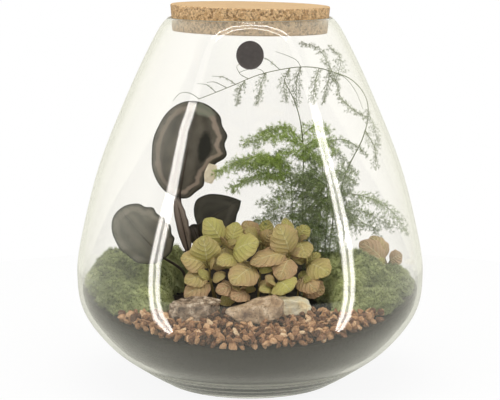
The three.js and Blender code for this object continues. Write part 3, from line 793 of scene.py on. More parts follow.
def even_path(knots: Sequence[Place], spacing: float) -> tuple[Array, Array]:
    """Draws a curve through points and steps along it evenly.

    Args:
        knots: the points that it goes through.
        spacing: about how far apart the steps are.

    Returns:
        The places along the curve and the curve's directions there.
    """
    dense = smooth_path(knots, 12)
    reach = np.concatenate([[0], np.cumsum(np.linalg.norm(np.diff(dense, axis=0), axis=1))])
    steps = np.linspace(0, reach[-1], max(3, round(reach[-1] / spacing) + 1))
    places = np.stack([np.interp(steps, reach, dense[:, i]) for i in range(3)], axis=1)
    return places, unit(np.gradient(places, axis=0))


def grid_faces(rows: int, columns: int, closed: bool = False) -> Array:
    """Numbers the four-cornered faces of a grid of points.

    Args:
        rows: the rows of points.
        columns: the points in a row.
        closed: joins each row's end to its start.

    Returns:
        The faces, one to a row.
    """
    low = np.arange(rows - 1)[:, None] * columns
    first = np.arange(columns if closed else columns - 1)
    second = (first + 1) % columns
    faces = np.stack([low + first, low + second, low + second + columns, low + first + columns], axis=-1)
    return faces.reshape(-1, 4)


def end_faces(rows: int, columns: int) -> Array:
    """Numbers the faces that close the first and the last row of a closed grid."""
    return np.array([np.arange(columns)[::-1], (rows - 1) * columns + np.arange(columns)])


def rim_faces(border: Array, size: int) -> Array:
    """Numbers the faces along a border between two sheets of size points each."""
    after = np.roll(border, -1)
    return np.stack([border, after, after + size, border + size], axis=-1)


def add_tube(draft: Draft, path: Array, radii: Any, sides: int, slot: int = 0, **values: Any) -> None:
    """Adds a closed round tube along a path.

    Args:
        draft: the piece.
        path: the places along its middle.
        radii: its radius, or one for each place.
        sides: the number of its sides.
        slot: the number of its finish.
        values: the point values, as in Draft.add.
    """
    along = unit(np.gradient(path, axis=0))
    side = np.array([0.1, 0.2, 1.0])
    rings = []
    cosines, sines = circle(sides).T
    for place, direction, radius in zip(path, along, np.broadcast_to(radii, len(path))):
        side = unit(side - direction * side.dot(direction))
        other = np.cross(direction, side)
        rings.append(place + radius * (np.outer(cosines, side) + np.outer(sines, other)))
    walls = grid_faces(len(path), sides, closed=True)
    draft.add(np.vstack(rings), walls, end_faces(len(path), sides), slot=slot, **values)


def add_spikes(
    draft: Draft, feet: Array, aims: Array, radius: float, flat: float = 1.0, **values: Any
) -> None:
    """Adds a closed three-sided needle at each foot.

    Args:
        draft: the piece.
        feet: the needles' feet, one to a row.
        aims: from each foot to its tip.
        radius: the needles' radius at the foot.
        flat: the width one way as a share of the width the other way.
        values: for each point value, its values at the feet and at the tips, as a pair.
    """
    count = len(feet)
    along = unit(aims)
    helper = np.where(np.abs(along[:, 2:]) < 0.9, UP[None], np.array([[1.0, 0.0, 0.0]]))
    side = unit(np.cross(along, helper))
    other = np.cross(along, side) * flat
    cosines, sines = circle(3).T[:, :, None]
    around = cosines * side[:, None] + sines * other[:, None]
    points = np.concatenate([feet[:, None] + radius * around, (feet + aims)[:, None]], axis=1)
    faces = np.array([[0, 1, 3], [1, 2, 3], [2, 0, 3], [2, 1, 0]])
    every = (np.arange(count)[:, None, None] * 4 + faces).reshape(-1, 3)
    spread = {}
    for name, (foot, tip) in values.items():
        low, high = np.broadcast_to(foot, count), np.broadcast_to(tip, count)
        spread[name] = np.stack([low, low, low, high], axis=1).ravel()
    draft.add(points.reshape(-1, 3), every, **spread)


@dataclass(frozen=True)
class BladeAxes:
    """A leaf blade's midrib, from base to tip, with the directions across it and out of its face."""

    base: Array
    tip: Array
    bend: Array
    up: Array
    across: Array

    @staticmethod
    def between(base: Place, tip: Place, face: Place, arch: float) -> BladeAxes:
        """Lays the axes out.

        Args:
            base: the blade's base.
            tip: its tip.
            face: about where its upper face looks.
            arch: how far the midrib arches, as a share of its length.

        Returns:
            The axes.
        """
        start, end = np.array(base, float), np.array(tip, float)
        length = np.linalg.norm(end - start)
        along = (end - start) / length
        up = unit(np.array(face, float) - along * np.dot(face, along))
        return BladeAxes(start, end, (start + end) / 2 + up * 2 * arch * length, up, np.cross(along, up))

    @property
    def length(self) -> float:
        """The distance from base to tip."""
        return float(np.linalg.norm(self.tip - self.base))

    def midrib(self, share: Any) -> Array:
        """Gives the places on the midrib at shares of its length."""
        t = np.asarray(share, float)[..., None]
        return (1 - t) ** 2 * self.base + 2 * t * (1 - t) * self.bend + t**2 * self.tip


@dataclass(frozen=True)
class BladeForm:
    """How a blade is drawn: its grid, thickness, outline and relief.

    outline gives half its width and relief its height, in millimetres, at shares along and across it.
    """

    rows: int
    columns: int
    thickness: float
    outline: Callable[[Array, Array], Array]
    relief: Callable[[Array, Array], Array]


def add_blade(draft: Draft, axes: BladeAxes, form: BladeForm, tint: float = 0.0, slot: int = 0) -> None:
    """Adds a closed leaf blade.

    Args:
        draft: the piece. Its points may have the values along and across, as shares of the blade, edge, as
            millimetres from the margin, and tint.
        axes: the blade's place.
        form: its form.
        tint: its tint.
        slot: the number of its finish.
    """
    t = 0.5 - 0.5 * np.cos(np.linspace(0, np.pi, form.rows))
    s = np.sin(np.linspace(-np.pi / 2, np.pi / 2, form.columns))
    along, across = np.meshgrid(t, s, indexing="ij")
    half = form.outline(along, across)
    middle = axes.midrib(along) + axes.across * (across * half)[..., None]
    middle = middle + axes.up * form.relief(along, across)[..., None]
    sheets = [(middle + axes.up * form.thickness * side).reshape(-1, 3) for side in (0.5, -0.5)]
    flat = np.stack([across * half, along * axes.length], axis=-1).reshape(-1, 2)
    rim = np.concatenate([flat.reshape(form.rows, form.columns, 2)[:, side] for side in (0, -1)])
    edge = np.min(np.linalg.norm(flat[:, None] - rim[None], axis=-1), axis=1)
    size = form.rows * form.columns
    top = grid_faces(form.rows, form.columns)
    border = np.concatenate(
        [
            np.arange(form.columns),
            np.arange(1, form.rows) * form.columns + form.columns - 1,
            size - 2 - np.arange(form.columns - 1),
            np.arange(form.rows - 2, 0, -1) * form.columns,
        ]
    )
    values = {"along": along.ravel(), "across": across.ravel(), "edge": edge}
    doubled = {name: np.tile(value, 2) for name, value in values.items()}
    faces = top[:, ::-1], top + size, rim_faces(border, size)
    draft.add(np.vstack(sheets), *faces, slot=slot, tint=tint, **doubled)


@dataclass(frozen=True)
class Vessel:
    """The blown glass vessel: the outer face's radii and heights, and its thicknesses."""

    outline: tuple[Spot, ...] = (
        (66.8, 0), (86.5, 12), (110.4, 30), (130, 56), (135, 82),
        (131.8, 112), (116.7, 170), (92.1, 230), (71.5, 272), (63, 283),
    )
    wall: float = 3.0
    foot: float = 15.0
    lip_height: float = 283.4
    sides: int = 144
    steps: int = 80
    ring_depth: float = 0.2
    ring_pitch: float = 4.7
    ring_top: float = 21.0
    # How much of each ring is a painted light band: the band is where the cosine of the ring's phase is over
    # this.
    painted_band_share: float = 0.3

    @cached_property
    def curve(self) -> tuple[Array, Array]:
        """The outer face, as drawn through the outline's points.

        Returns:
            Its places as radius and height, and its directions there.
        """
        knots = np.array(self.outline, float)
        knots = np.vstack([knots[0], knots, knots[-1]])
        shares = np.linspace(0, len(self.outline) - 1, self.steps + 1)
        places = []
        for share in shares:
            i = min(int(share), len(self.outline) - 2)
            t = share - i
            p0, p1, p2, p3 = knots[i : i + 4]
            first, second = (p2 - p0) / 2, (p3 - p1) / 2
            places.append(
                (2 * p1 - 2 * p2 + first + second) * t**3
                + (3 * p2 - 3 * p1 - 2 * first - second) * t**2
                + first * t
                + p1
            )
        row = np.array(places)
        return row, unit(np.gradient(row, axis=0))

    def inside(self, clearance: float = 0.0) -> Array:
        """Draws the inner wall up from the floor's corner.

        Args:
            clearance: how far the wall is moved inwards.

        Returns:
            Its radii and heights.
        """
        places, along = self.curve
        inward = np.stack([-along[:, 1], along[:, 0]], axis=1)
        wall = places + inward * (self.wall + clearance)
        floor = self.foot + clearance
        first = int(np.argmax(wall[:, 1] > floor))
        share = (floor - wall[first - 1, 1]) / (wall[first, 1] - wall[first - 1, 1])
        corner = wall[first - 1] + (wall[first] - wall[first - 1]) * share
        return np.vstack([corner, wall[first:]])

    def outer_radius(self, height: Any) -> Any:
        """Gives the outer face's radius at heights."""
        places, _ = self.curve
        return np.interp(height, places[:, 1], places[:, 0])

    def outer_normal(self, place: Array) -> Array:
        """Works out how the outer face looks, smoothly from one point of its profile to the next.

        Args:
            place: a place on it.

        Returns:
            Its normal there.
        """
        places, along = self.curve
        out, up = (np.interp(place[2], places[:, 1], part) for part in along.T)
        return unit(np.array([*(place[:2] * up / np.hypot(*place[:2])), -out]))

    def inner_radius(self, height: Any) -> Any:
        """Gives the inner wall's radius at heights."""
        return np.interp(height, self.inner_wall[:, 1], self.inner_wall[:, 0])

    @cached_property
    def inner_wall(self) -> Array:
        """The inner wall's radii and heights."""
        return self.inside()

    def holds(self, points: Array, clearance: float = 0.5) -> Array:
        """Tells which points are inside the glass by a clearance."""
        return np.hypot(points[:, 0], points[:, 1]) < self.inner_radius(points[:, 2]) - clearance

    def keep_in(self, points: Array, clearance: float = 0.5) -> Array:
        """Draws points that are past the inner wall back inside it.

        Args:
            points: the points.
            clearance: how far from the wall they stay.

        Returns:
            The points.
        """
        reach = np.hypot(points[:, 0], points[:, 1])
        most = self.inner_radius(points[:, 2]) - clearance
        scale = np.minimum(1, most / np.maximum(reach, 1e-6))
        return points * np.stack([scale, scale, np.ones_like(scale)], axis=1)

    def build(self) -> None:
        """Turns the profile with the tool rings round its foot, and gives the rings' bands and the rim the
        pale glass as painted light.
        """
        outside = self.curve[0].copy()
        fade = np.clip(1 - outside[:, 1] / self.ring_top, 0, 1) * np.clip(outside[:, 1] / 2, 0, 1)
        outside[:, 0] += self.ring_depth * fade * np.sin(outside[:, 1] * 2 * np.pi / self.ring_pitch)
        inner = self.inside()[::-1]
        middle = (outside[-1, 0] + inner[0, 0]) / 2
        half = (outside[-1, 0] - inner[0, 0]) / 2
        turn = np.linspace(0, np.pi, 7)[1:-1]
        base = (outside[-1, 1] + inner[0, 1]) / 2
        lip = np.stack([middle + half * np.cos(turn), base + (self.lip_height - base) * np.sin(turn)], axis=1)
        # The foot's outer edge and the corner round the floor are rounded.
        rounding = np.array([[outside[0, 0] - 1.2, 0.0], [outside[0, 0] - 0.2, 0.35]])
        corner, rise = inner[-1], inner[-2] - inner[-1]
        soft = np.array([corner + rise * 0.6, corner - np.array([2.0, 0.0])])
        profile = np.vstack([rounding, outside[1:], lip, inner[:-1], soft])
        draft = Draft()
        revolve(draft, profile, self.sides, capped=True)
        middles = (profile[:-1, 1] + profile[1:, 1]) / 2
        rows = np.arange(len(middles))
        # The ring bands and the rim get the pale glass: painted light bands on the foot, and a painted
        # highlight on the rim.
        rings = (np.cos(middles * 2 * np.pi / self.ring_pitch) > self.painted_band_share) & (middles > 2)
        rings &= (middles < self.ring_top) & (rows < len(outside))
        first_lip = len(rounding) + len(outside) - 2
        ground = rings | ((rows >= first_lip) & (rows < first_lip + len(lip)))
        draft.slots[0] = np.repeat(ground.astype(int), self.sides)
        settle(draft.build("vessel_glass", [BlownGlass(), PaintedBandGlass()]), "glass", "glass_vessel")


def revolve(draft: Draft, profile: Array, sides: int, capped: bool) -> None:
    """Adds a profile turned round the vertical axis.

    Args:
        draft: the piece.
        profile: radii and heights, up the outside and down the inside.
        sides: the number of sides.
        capped: closes the first and the last ring with a flat face each.
    """
    ring = circle(sides)
    points = np.concatenate([np.column_stack([ring * r, np.full(sides, z)]) for r, z in profile])
    groups = [grid_faces(len(profile), sides, closed=True)]
    if capped:
        groups.append(end_faces(len(profile), sides))
    draft.add(points, *groups)


@dataclass(frozen=True)
class CorkStopper:
    """The wide cork, wedged in the mouth a little askew."""

    top: float = 292.5
    bottom: float = 272.0
    top_radius: float = 61.1
    bottom_radius: float = 59.4
    round_edge: float = 0.9
    tilt: float = math.radians(1.1)
    mouth: float = 282.0
    sides: int = 220
    rows: int = 34
    pit_depth: float = 0.32
    pit_sizes: Spot = (2.2, 0.9)
    disc_rings: tuple[float, ...] = (1.0, 0.985, 0.93, 0.8, 0.6, 0.35, 0.1)
    disc_wave: float = 0.05

    def build(self) -> None:
        """Makes the cork with a pitted side and a planed top."""
        share = np.linspace(0, 1, self.rows)
        side_radius = self.bottom_radius + (self.top_radius - self.bottom_radius) * share
        side_height = self.bottom + self.round_edge + (self.top - self.bottom - 2 * self.round_edge) * share
        side = np.stack([side_radius, side_height], axis=1)
        turn = np.linspace(0, np.pi / 2, 4)
        edge = self.round_edge
        out, up = edge * np.cos(turn), edge * np.sin(turn)
        upper = np.stack([self.top_radius - edge + out, self.top - edge + up], axis=1)
        lower = np.stack([self.bottom_radius - edge + up, self.bottom + edge - out], axis=1)
        profile = np.vstack([lower[:-1], side, upper[1:]])
        draft = Draft()
        revolve(draft, profile, self.sides, capped=False)
        self.pit(draft.points[0])
        self.add_disc(draft, len(profile) - 1, upward=True)
        self.add_disc(draft, 0, upward=False)
        piece = draft.build("stopper_cork", [PressedCork(), PlanedCork()])
        centre = Matrix.Translation((0, 0, self.mouth * MM))
        piece.data.transform(centre @ Matrix.Rotation(self.tilt, 4, "Y") @ centre.inverted())
        settle(piece, "cork", "cork_stopper")

    def pit(self, points: Array) -> None:
        """Presses pits of two sizes into the side's points."""
        wide, narrow = (bumps(points, size) for size in self.pit_sizes)
        points[:, :2] *= 1 - self.pit_depth * np.maximum(0, wide + 0.6 * narrow)[:, None] / self.top_radius

    def add_disc(self, draft: Draft, ring: int, upward: bool) -> None:
        """Closes the cork with a disc that starts at a ring of the side.

        Args:
            draft: the cork.
            ring: the number of the ring.
            upward: makes it the planed top.
        """
        outer = draft.points[0][ring * self.sides : (ring + 1) * self.sides]
        rings = []
        for share in self.disc_rings:
            level = outer * np.array([share, share, 1.0])
            if share < 1:
                wave = self.disc_wave * np.sin(level[:, 0] / 5) * np.cos(level[:, 1] / 7)
                level[:, 2] = outer[:, 2].mean() + wave
            rings.append(level)
        faces = grid_faces(len(rings), self.sides, closed=True)
        middle = (len(rings) - 1) * self.sides + np.arange(self.sides)[None]
        if not upward:
            faces, middle = faces[:, ::-1], middle[:, ::-1]
        draft.add(np.vstack(rings), faces, middle, slot=int(upward))


@dataclass(frozen=True)
class RoundSticker:
    """The plain dark sticker, bent onto the front of the glass."""

    vessel: Vessel
    height: float = 260.0
    radius: float = 10.0
    thickness: float = 0.25
    lift: float = 0.12
    sides: int = 64
    rings: int = 8

    def build(self) -> None:
        """Bends a disc of paper onto the glass."""
        shares = np.linspace(0.05, 1, self.rings)
        cosines, sines = circle(self.sides).T
        x = np.outer(shares, cosines).ravel() * self.radius
        z = np.outer(shares, sines).ravel() * self.radius + self.height
        reach = self.vessel.outer_radius(z) + self.lift
        reaches = (reach + self.thickness, reach)
        sheets = [np.stack([x, -np.sqrt(out**2 - x**2), z], axis=1) for out in reaches]
        size = len(x)
        faces = grid_faces(self.rings, self.sides, closed=True)
        inner = np.arange(self.sides)
        wall = rim_faces(size - self.sides + inner, size)
        caps = np.array([inner, inner[::-1] + size])
        edge = np.tile(np.repeat(shares**12, self.sides), 2)
        draft = Draft("edge")
        draft.add(np.vstack(sheets), faces[:, ::-1], faces + size, wall, caps, edge=edge)
        settle(draft.build("sticker_paper", [CoatedPaper()]), "sticker", "round_sticker")


@dataclass(frozen=True)
class Ground:
    """The potting soil, higher at the sides and at the back."""

    vessel: Vessel
    depth: float = 54.0
    side_rise: float = 22.0
    side_reach: float = 126.0
    side_power: float = 2.6
    back_rise: float = 28.0
    back_start: float = 0.0
    back_end: float = 90.0
    back_reach: float = 110.0
    clearance: float = 0.35
    sides: int = 144
    rings: int = 56
    levels: int = 20
    crumb: float = 1.3
    crumb_sizes: Spot = (4.5, 11.0)

    def height(self, x: Any, y: Any) -> Any:
        """Gives the soil's height at places.

        Args:
            x: how far right they are.
            y: how far back they are.

        Returns:
            The heights.
        """
        side = np.minimum(np.abs(x) / self.side_reach, 1) ** self.side_power
        back = np.clip((y - self.back_start) / (self.back_end - self.back_start), 0, 1)
        middle = np.maximum(1 - (x / self.back_reach) ** 2, 0)
        return self.depth + self.side_rise * side + self.back_rise * back * middle

    def build(self) -> None:
        """Makes the soil with a crumbly top and a side that follows the glass."""
        compass = circle(self.sides)
        wall = self.vessel.inside(self.clearance)
        rims = []
        for direction in compass:
            gap = wall[:, 1] - self.height(*(wall[:, :1] * direction).T)
            rims.append(np.interp(0, gap, wall[:, 0]))
        rims = np.array(rims)
        top = []
        for share in np.linspace(0.02, 1, self.rings):
            flat = compass * (rims * share)[:, None]
            level = self.height(flat[:, 0], flat[:, 1])
            small, large = (
                bumps(np.column_stack([flat, np.full(self.sides, layer)]), size)
                for layer, size in zip((0.0, 9.0), self.crumb_sizes)
            )
            # The crumbs fade out next to the glass.
            fade = min(1.0, (1 - share) * 12)
            top.append(np.column_stack([flat, level + self.crumb * fade * (small + large)]))
        side = []
        floor = self.vessel.foot + self.clearance
        for share in np.linspace(1, 0, self.levels)[1:]:
            level = floor + (top[-1][:, 2] - floor) * share
            reach = np.interp(level, wall[:, 1], wall[:, 0])
            side.append(np.column_stack([compass * reach[:, None], level]))
        rows = [*top, *side]
        faces = grid_faces(len(rows), self.sides, closed=True)
        draft = Draft()
        draft.add(np.vstack(rows), faces[:, ::-1], end_faces(len(rows), self.sides)[:, ::-1])
        settle(draft.build("ground_soil", [PottingSoil()]), "soil", "soil")


def crushed_grain(rng: Random, cuts: int = 8, nearest: float = 0.38) -> tuple[Array, Array]:
    """Makes a ball with flat cuts.

    Args:
        rng: the random numbers.
        cuts: the number of cuts.
        nearest: the nearest that a cut comes to the middle, as a share of the radius.

    Returns:
        The points, for a radius of 1, and the faces.
    """
    ball = bmesh.new()
    bmesh.ops.create_icosphere(ball, subdivisions=2, radius=1)
    points = np.array([vertex.co[:] for vertex in ball.verts])
    faces = np.array([[vertex.index for vertex in face.verts] for face in ball.faces])
    ball.free()
    normals = unit(rng.normal(size=(cuts, 3)))
    offsets = nearest + 0.25 * rng.random(cuts)
    reach = offsets / np.maximum(points @ normals.T, 0.01)
    return points * np.minimum(1, reach.min(axis=1))[:, None], faces


@dataclass(frozen=True)
class GravelBed:
    """The bed of loose gravel in the front of the vessel."""

    vessel: Vessel
    ground: Ground
    half_angle: float = math.radians(50)
    inner: float = 42.0
    outer: float = 130.0
    grain: float = 3.7
    half_sizes: tuple[Spot, ...] = ((1.0, 1.5), (0.7, 1.1), (0.5, 0.8))
    spacing: float = 5.6
    layers: tuple[float, ...] = (1.6, 4.4, 6.8)
    lowest_width: float = 22.0
    lifts: Spot = (-0.5, 0.9)
    tries: int = 9000
    kinds: int = 16
    tints: Spot = (0.5, 0.24)
    seed: int = 7

    def spots(self, rng: Random, layer: int) -> Iterable[Place]:
        """Strews grains over a layer, none nearer to another than the spacing.

        Args:
            rng: the random numbers.
            layer: the layer's number.

        Returns:
            The grains' places.
        """
        taken: dict[tuple[int, int], list[Spot]] = {}
        for _ in range(self.tries):
            angle = self.half_angle * (2 * rng.random() - 1)
            reach = math.sqrt(rng.uniform(self.inner**2, self.outer**2))
            if layer == 0 and reach < self.outer - self.lowest_width:
                continue
            x, y = math.sin(angle) * reach, -math.cos(angle) * reach
            z = float(self.ground.height(x, y)) + self.layers[layer]
            if reach > self.vessel.inner_radius(z) - self.grain - 0.6:
                continue
            cell = int(x // self.spacing), int(y // self.spacing)
            cells = [(cell[0] + i, cell[1] + j) for i in (-1, 0, 1) for j in (-1, 0, 1)]
            near = [spot for key in cells for spot in taken.get(key, ())]
            if any(math.hypot(x - a, y - b) < self.spacing for a, b in near):
                continue
            taken.setdefault(cell, []).append((x, y))
            yield x, y, z

    def build(self) -> None:
        """Strews the grains in layers."""
        rng = np.random.default_rng(self.seed)
        shapes = [crushed_grain(rng) for _ in range(self.kinds)]
        draft = Draft("tint")
        for layer in range(len(self.layers)):
            for x, y, z in self.spots(rng, layer):
                points, faces = shapes[rng.integers(self.kinds)]
                half = self.grain * np.array([rng.uniform(*sizes) for sizes in self.half_sizes])
                turn = np.linalg.qr(rng.normal(size=(3, 3)))[0]
                turn *= np.sign(np.linalg.det(turn))
                lift = rng.uniform(*self.lifts) if layer else 0.0
                placed = (points * half) @ turn.T + np.array([x, y, z + lift])
                tint = np.clip(rng.normal(*self.tints), 0, 1)
                draft.add(self.vessel.keep_in(placed), faces, tint=tint)
        settle(draft.build("gravel_grains", [CrushedGravel()], smooth=False), "gravel", "gravel")


def finer_copy(node: Piece, name: str, simple: int, smooth: int) -> Piece:
    """Copies a CAD node's mesh and divides it.

    Args:
        node: the CAD node's object.
        name: the copy's name.
        simple: how often each face is divided without a change of form.
        smooth: how often it is then divided and rounded.

    Returns:
        The copy.
    """
    mesh = node.data.copy()
    mesh.materials.clear()
    piece = bpy.data.objects.new(name, mesh)
    bpy.context.scene.collection.objects.link(piece)
    weld = bmesh.new()
    weld.from_mesh(mesh)
    bmesh.ops.remove_doubles(weld, verts=weld.verts, dist=1e-5)
    weld.to_mesh(mesh)
    weld.free()
    for kind, levels in (("SIMPLE", simple), ("CATMULL_CLARK", smooth)):
        divide = piece.modifiers.new(kind, "SUBSURF")
        divide.subdivision_type = kind
        divide.levels = divide.render_levels = levels
    graph = bpy.context.evaluated_depsgraph_get()
    finer = bpy.data.meshes.new_from_object(piece.evaluated_get(graph))
    piece.modifiers.clear()
    piece.data = finer
    finer.name = name
    finer.polygons.foreach_set("use_smooth", np.ones(len(finer.polygons), bool))
    return piece


def mesh_points(mesh: bpy.types.Mesh) -> tuple[Array, Array]:
    """Reads a mesh's points.

    Args:
        mesh: the mesh.

    Returns:
        Their places, in millimetres, and their normals.
    """
    places = np.empty(len(mesh.vertices) * 3)
    normals = np.empty_like(places)
    mesh.vertices.foreach_get("co", places)
    mesh.vertices.foreach_get("normal", normals)
    return places.reshape(-1, 3) / MM, normals.reshape(-1, 3)


@dataclass(frozen=True)
class Stone:
    """A broken stone: its CAD node, finish and slot, and the sizes and heights of its lumps."""

    node: str
    finish: BrokenStone
    slot: str
    lumps: tuple[Spot, ...]

    def build(self, nodes: dict[str, Piece]) -> None:
        """Divides the CAD stone and roughens it.

        Args:
            nodes: the CAD nodes by name.
        """
        piece = finer_copy(nodes[self.node], self.node + "_rough", simple=3, smooth=1)
        places, normals = mesh_points(piece.data)
        for size, height in self.lumps:
            places += normals * (bumps(places, size) * height)[:, None]
        piece.data.vertices.foreach_set("co", (places * MM).ravel())
        piece.data.materials.append(self.finish.material())
        piece.data.update()
        settle(piece, self.slot, self.node)


STONES = (
    Stone("stone_left", BrokenStone("stone_broken_grey", StoneTone.GREY, mottle_mm=4.6, pores=0.6),
          "grey_stone", ((9.0, 1.6), (3.4, 0.9))),
    Stone("stone_middle", BrokenStone("stone_broken_banded", StoneTone.BANDED, mottle_mm=7.0, pores=0.5),
          "grey_stone", ((12.0, 1.1), (3.5, 0.5))),
    Stone("stone_right", BrokenStone("stone_broken_cream", StoneTone.CREAM, mottle_mm=8.0, pores=0.1),
          "cream_stone", ((12.0, 1.0), (4.0, 0.5))),
)


class Mound(Enum):
    """The two mounds of moss: CAD node, seed of the random numbers, and how bright the moss is."""

    LEFT = ("moss_left", 40, 0.27)
    RIGHT = ("moss_right", 41, 0.38)


@dataclass(frozen=True)
class MossMound:
    """A mound of cushion moss: a lumpy core covered in tufts of small pointed leaves."""

    vessel: Vessel
    ground: Ground
    mound: Mound
    tufts: int = 4300
    leaves: int = 5
    leaf_length: float = 3.4
    leaf_radius: float = 0.38
    leaf_flatness: float = 0.5
    lump: float = 1.8
    lump_sizes: Spot = (9.0, 4.0)
    clump_size: float = 13.0
    # Within this reach of the middle the moss gets painted light.
    painted_light_reach: float = 92.0
    lowest_look: float = -0.35
    sunk: float = 0.4
    lift: float = 0.25
    spread: float = 0.55
    lengths: Spot = (0.6, 1.25)
    tint_spreads: Spot = (0.26, 0.06)

    def build(self, nodes: dict[str, Piece]) -> None:
        """Makes the core lumpy and covers what stands out of the soil with tufts.

        Args:
            nodes: the CAD nodes by name.
        """
        node, seed, tone = self.mound.value
        rng = np.random.default_rng(seed)
        core = finer_copy(nodes[node], node + "_core", simple=0, smooth=1)
        places, normals = mesh_points(core.data)
        large, small = (bumps(places, size) for size in self.lump_sizes)
        lumps = large + 0.5 * small
        places = self.vessel.keep_in(places + normals * (lumps * self.lump - 1.0)[:, None], clearance=1.2)
        faces = np.array([face.vertices[:] for face in core.data.polygons])
        bpy.data.objects.remove(core)
        draft = Draft("tint")
        # The core is dark, as painted shade between the tufts, and gets painted light towards the middle.
        draft.add(places, faces, tint=0.12 + 0.6 * self.inner(places))
        corners = places[faces]
        spans = np.cross(corners[:, 2] - corners[:, 0], corners[:, 3] - corners[:, 1])
        outward = unit(spans)
        centres = corners.mean(axis=1)
        shown = (outward[:, 2] > self.lowest_look) & self.vessel.holds(centres, clearance=2.2)
        shown &= centres[:, 2] > self.ground.height(centres[:, 0], centres[:, 1]) - 1
        weights = np.linalg.norm(spans, axis=1) * shown
        chosen = rng.choice(len(faces), self.tufts, p=weights / weights.sum())
        u, v = rng.random((2, self.tufts, 1))
        quad = corners[chosen]
        feet = (quad[:, 0] * (1 - u) + quad[:, 1] * u) * (1 - v) + (quad[:, 3] * (1 - u) + quad[:, 2] * u) * v
        self.add_tufts(draft, rng, feet, outward[chosen], tone)
        settle(draft.build(node + "_tufts", [CushionMoss()]), "moss", node)

    def inner(self, places: Array) -> Array:
        """Tells from 0 to 1 how near places are to the middle, where the moss gets painted light that lifts
        the shade under the leaves.
        """
        return np.clip((self.painted_light_reach - np.abs(places[:, 0])) / 20, 0, 1)

    def add_tufts(self, draft: Draft, rng: Random, feet: Array, outward: Array, tone: float) -> None:
        """Adds a star of leaves at each foot.

        Args:
            draft: the moss.
            rng: the random numbers.
            feet: the tufts' feet.
            outward: the ways that they grow.
            tone: how bright they are.
        """
        tint = tone + 0.6 * bumps(feet, self.clump_size) + rng.normal(0, self.tint_spreads[0], len(feet))
        # Tufts towards the middle get painted light, which lifts the shade under the leaves.
        tint = np.clip(tint, 0, 1) + 0.5 * self.inner(feet)
        shape = (len(feet), self.leaves, 3)
        aims = unit(outward[:, None] + self.lift * UP + rng.normal(0, self.spread, shape))
        aims = aims * (self.leaf_length * rng.uniform(*self.lengths, shape[:2]))[..., None]
        starts = np.repeat(feet[:, None] - self.sunk * outward[:, None], self.leaves, axis=1).reshape(-1, 3)
        aims = aims.reshape(-1, 3)
        tints = np.repeat(tint, self.leaves) + rng.normal(0, self.tint_spreads[1], len(aims))
        fits = self.vessel.holds(starts + aims, 0.6)
        tints = tints[fits]
        # Each leaf is darker at its foot and paler at its tip: painted shade and painted light.
        ends = (0.35 * tints, 0.25 + tints)
        add_spikes(draft, starts[fits], aims[fits], self.leaf_radius, self.leaf_flatness, tint=ends)


def stem_foot(ground: Ground, foot: Spot, depth: float = 13.7, upright: float = 3.0) -> list[Place]:
    """Starts a stem in the soil.

    Args:
        ground: the soil.
        foot: where the stem stands.
        depth: how deep it goes.
        upright: how far it leaves the soil straight up.

    Returns:
        The stem's first three places.
    """
    top = float(ground.height(*foot))
    return [(*foot, top - depth), (*foot, top), (*foot, top + upright)]


@dataclass(frozen=True)
class DarkLeaf:
    """A leaf of the prayer plant on its own stalk.

    An early leaf is widest nearer its base. A bay narrows one margin next to the base. A scrap is a pale
    cream bit on the margin.
    """

    name: str
    foot: Spot
    stalk: Path
    base: Place
    tip: Place
    width: float
    fullness: float
    face: Place
    arch: float
    ripple: float
    finish: PrayerLeaf
    early: float = 1.0
    bay: float = 0.0
    scrap: bool = False


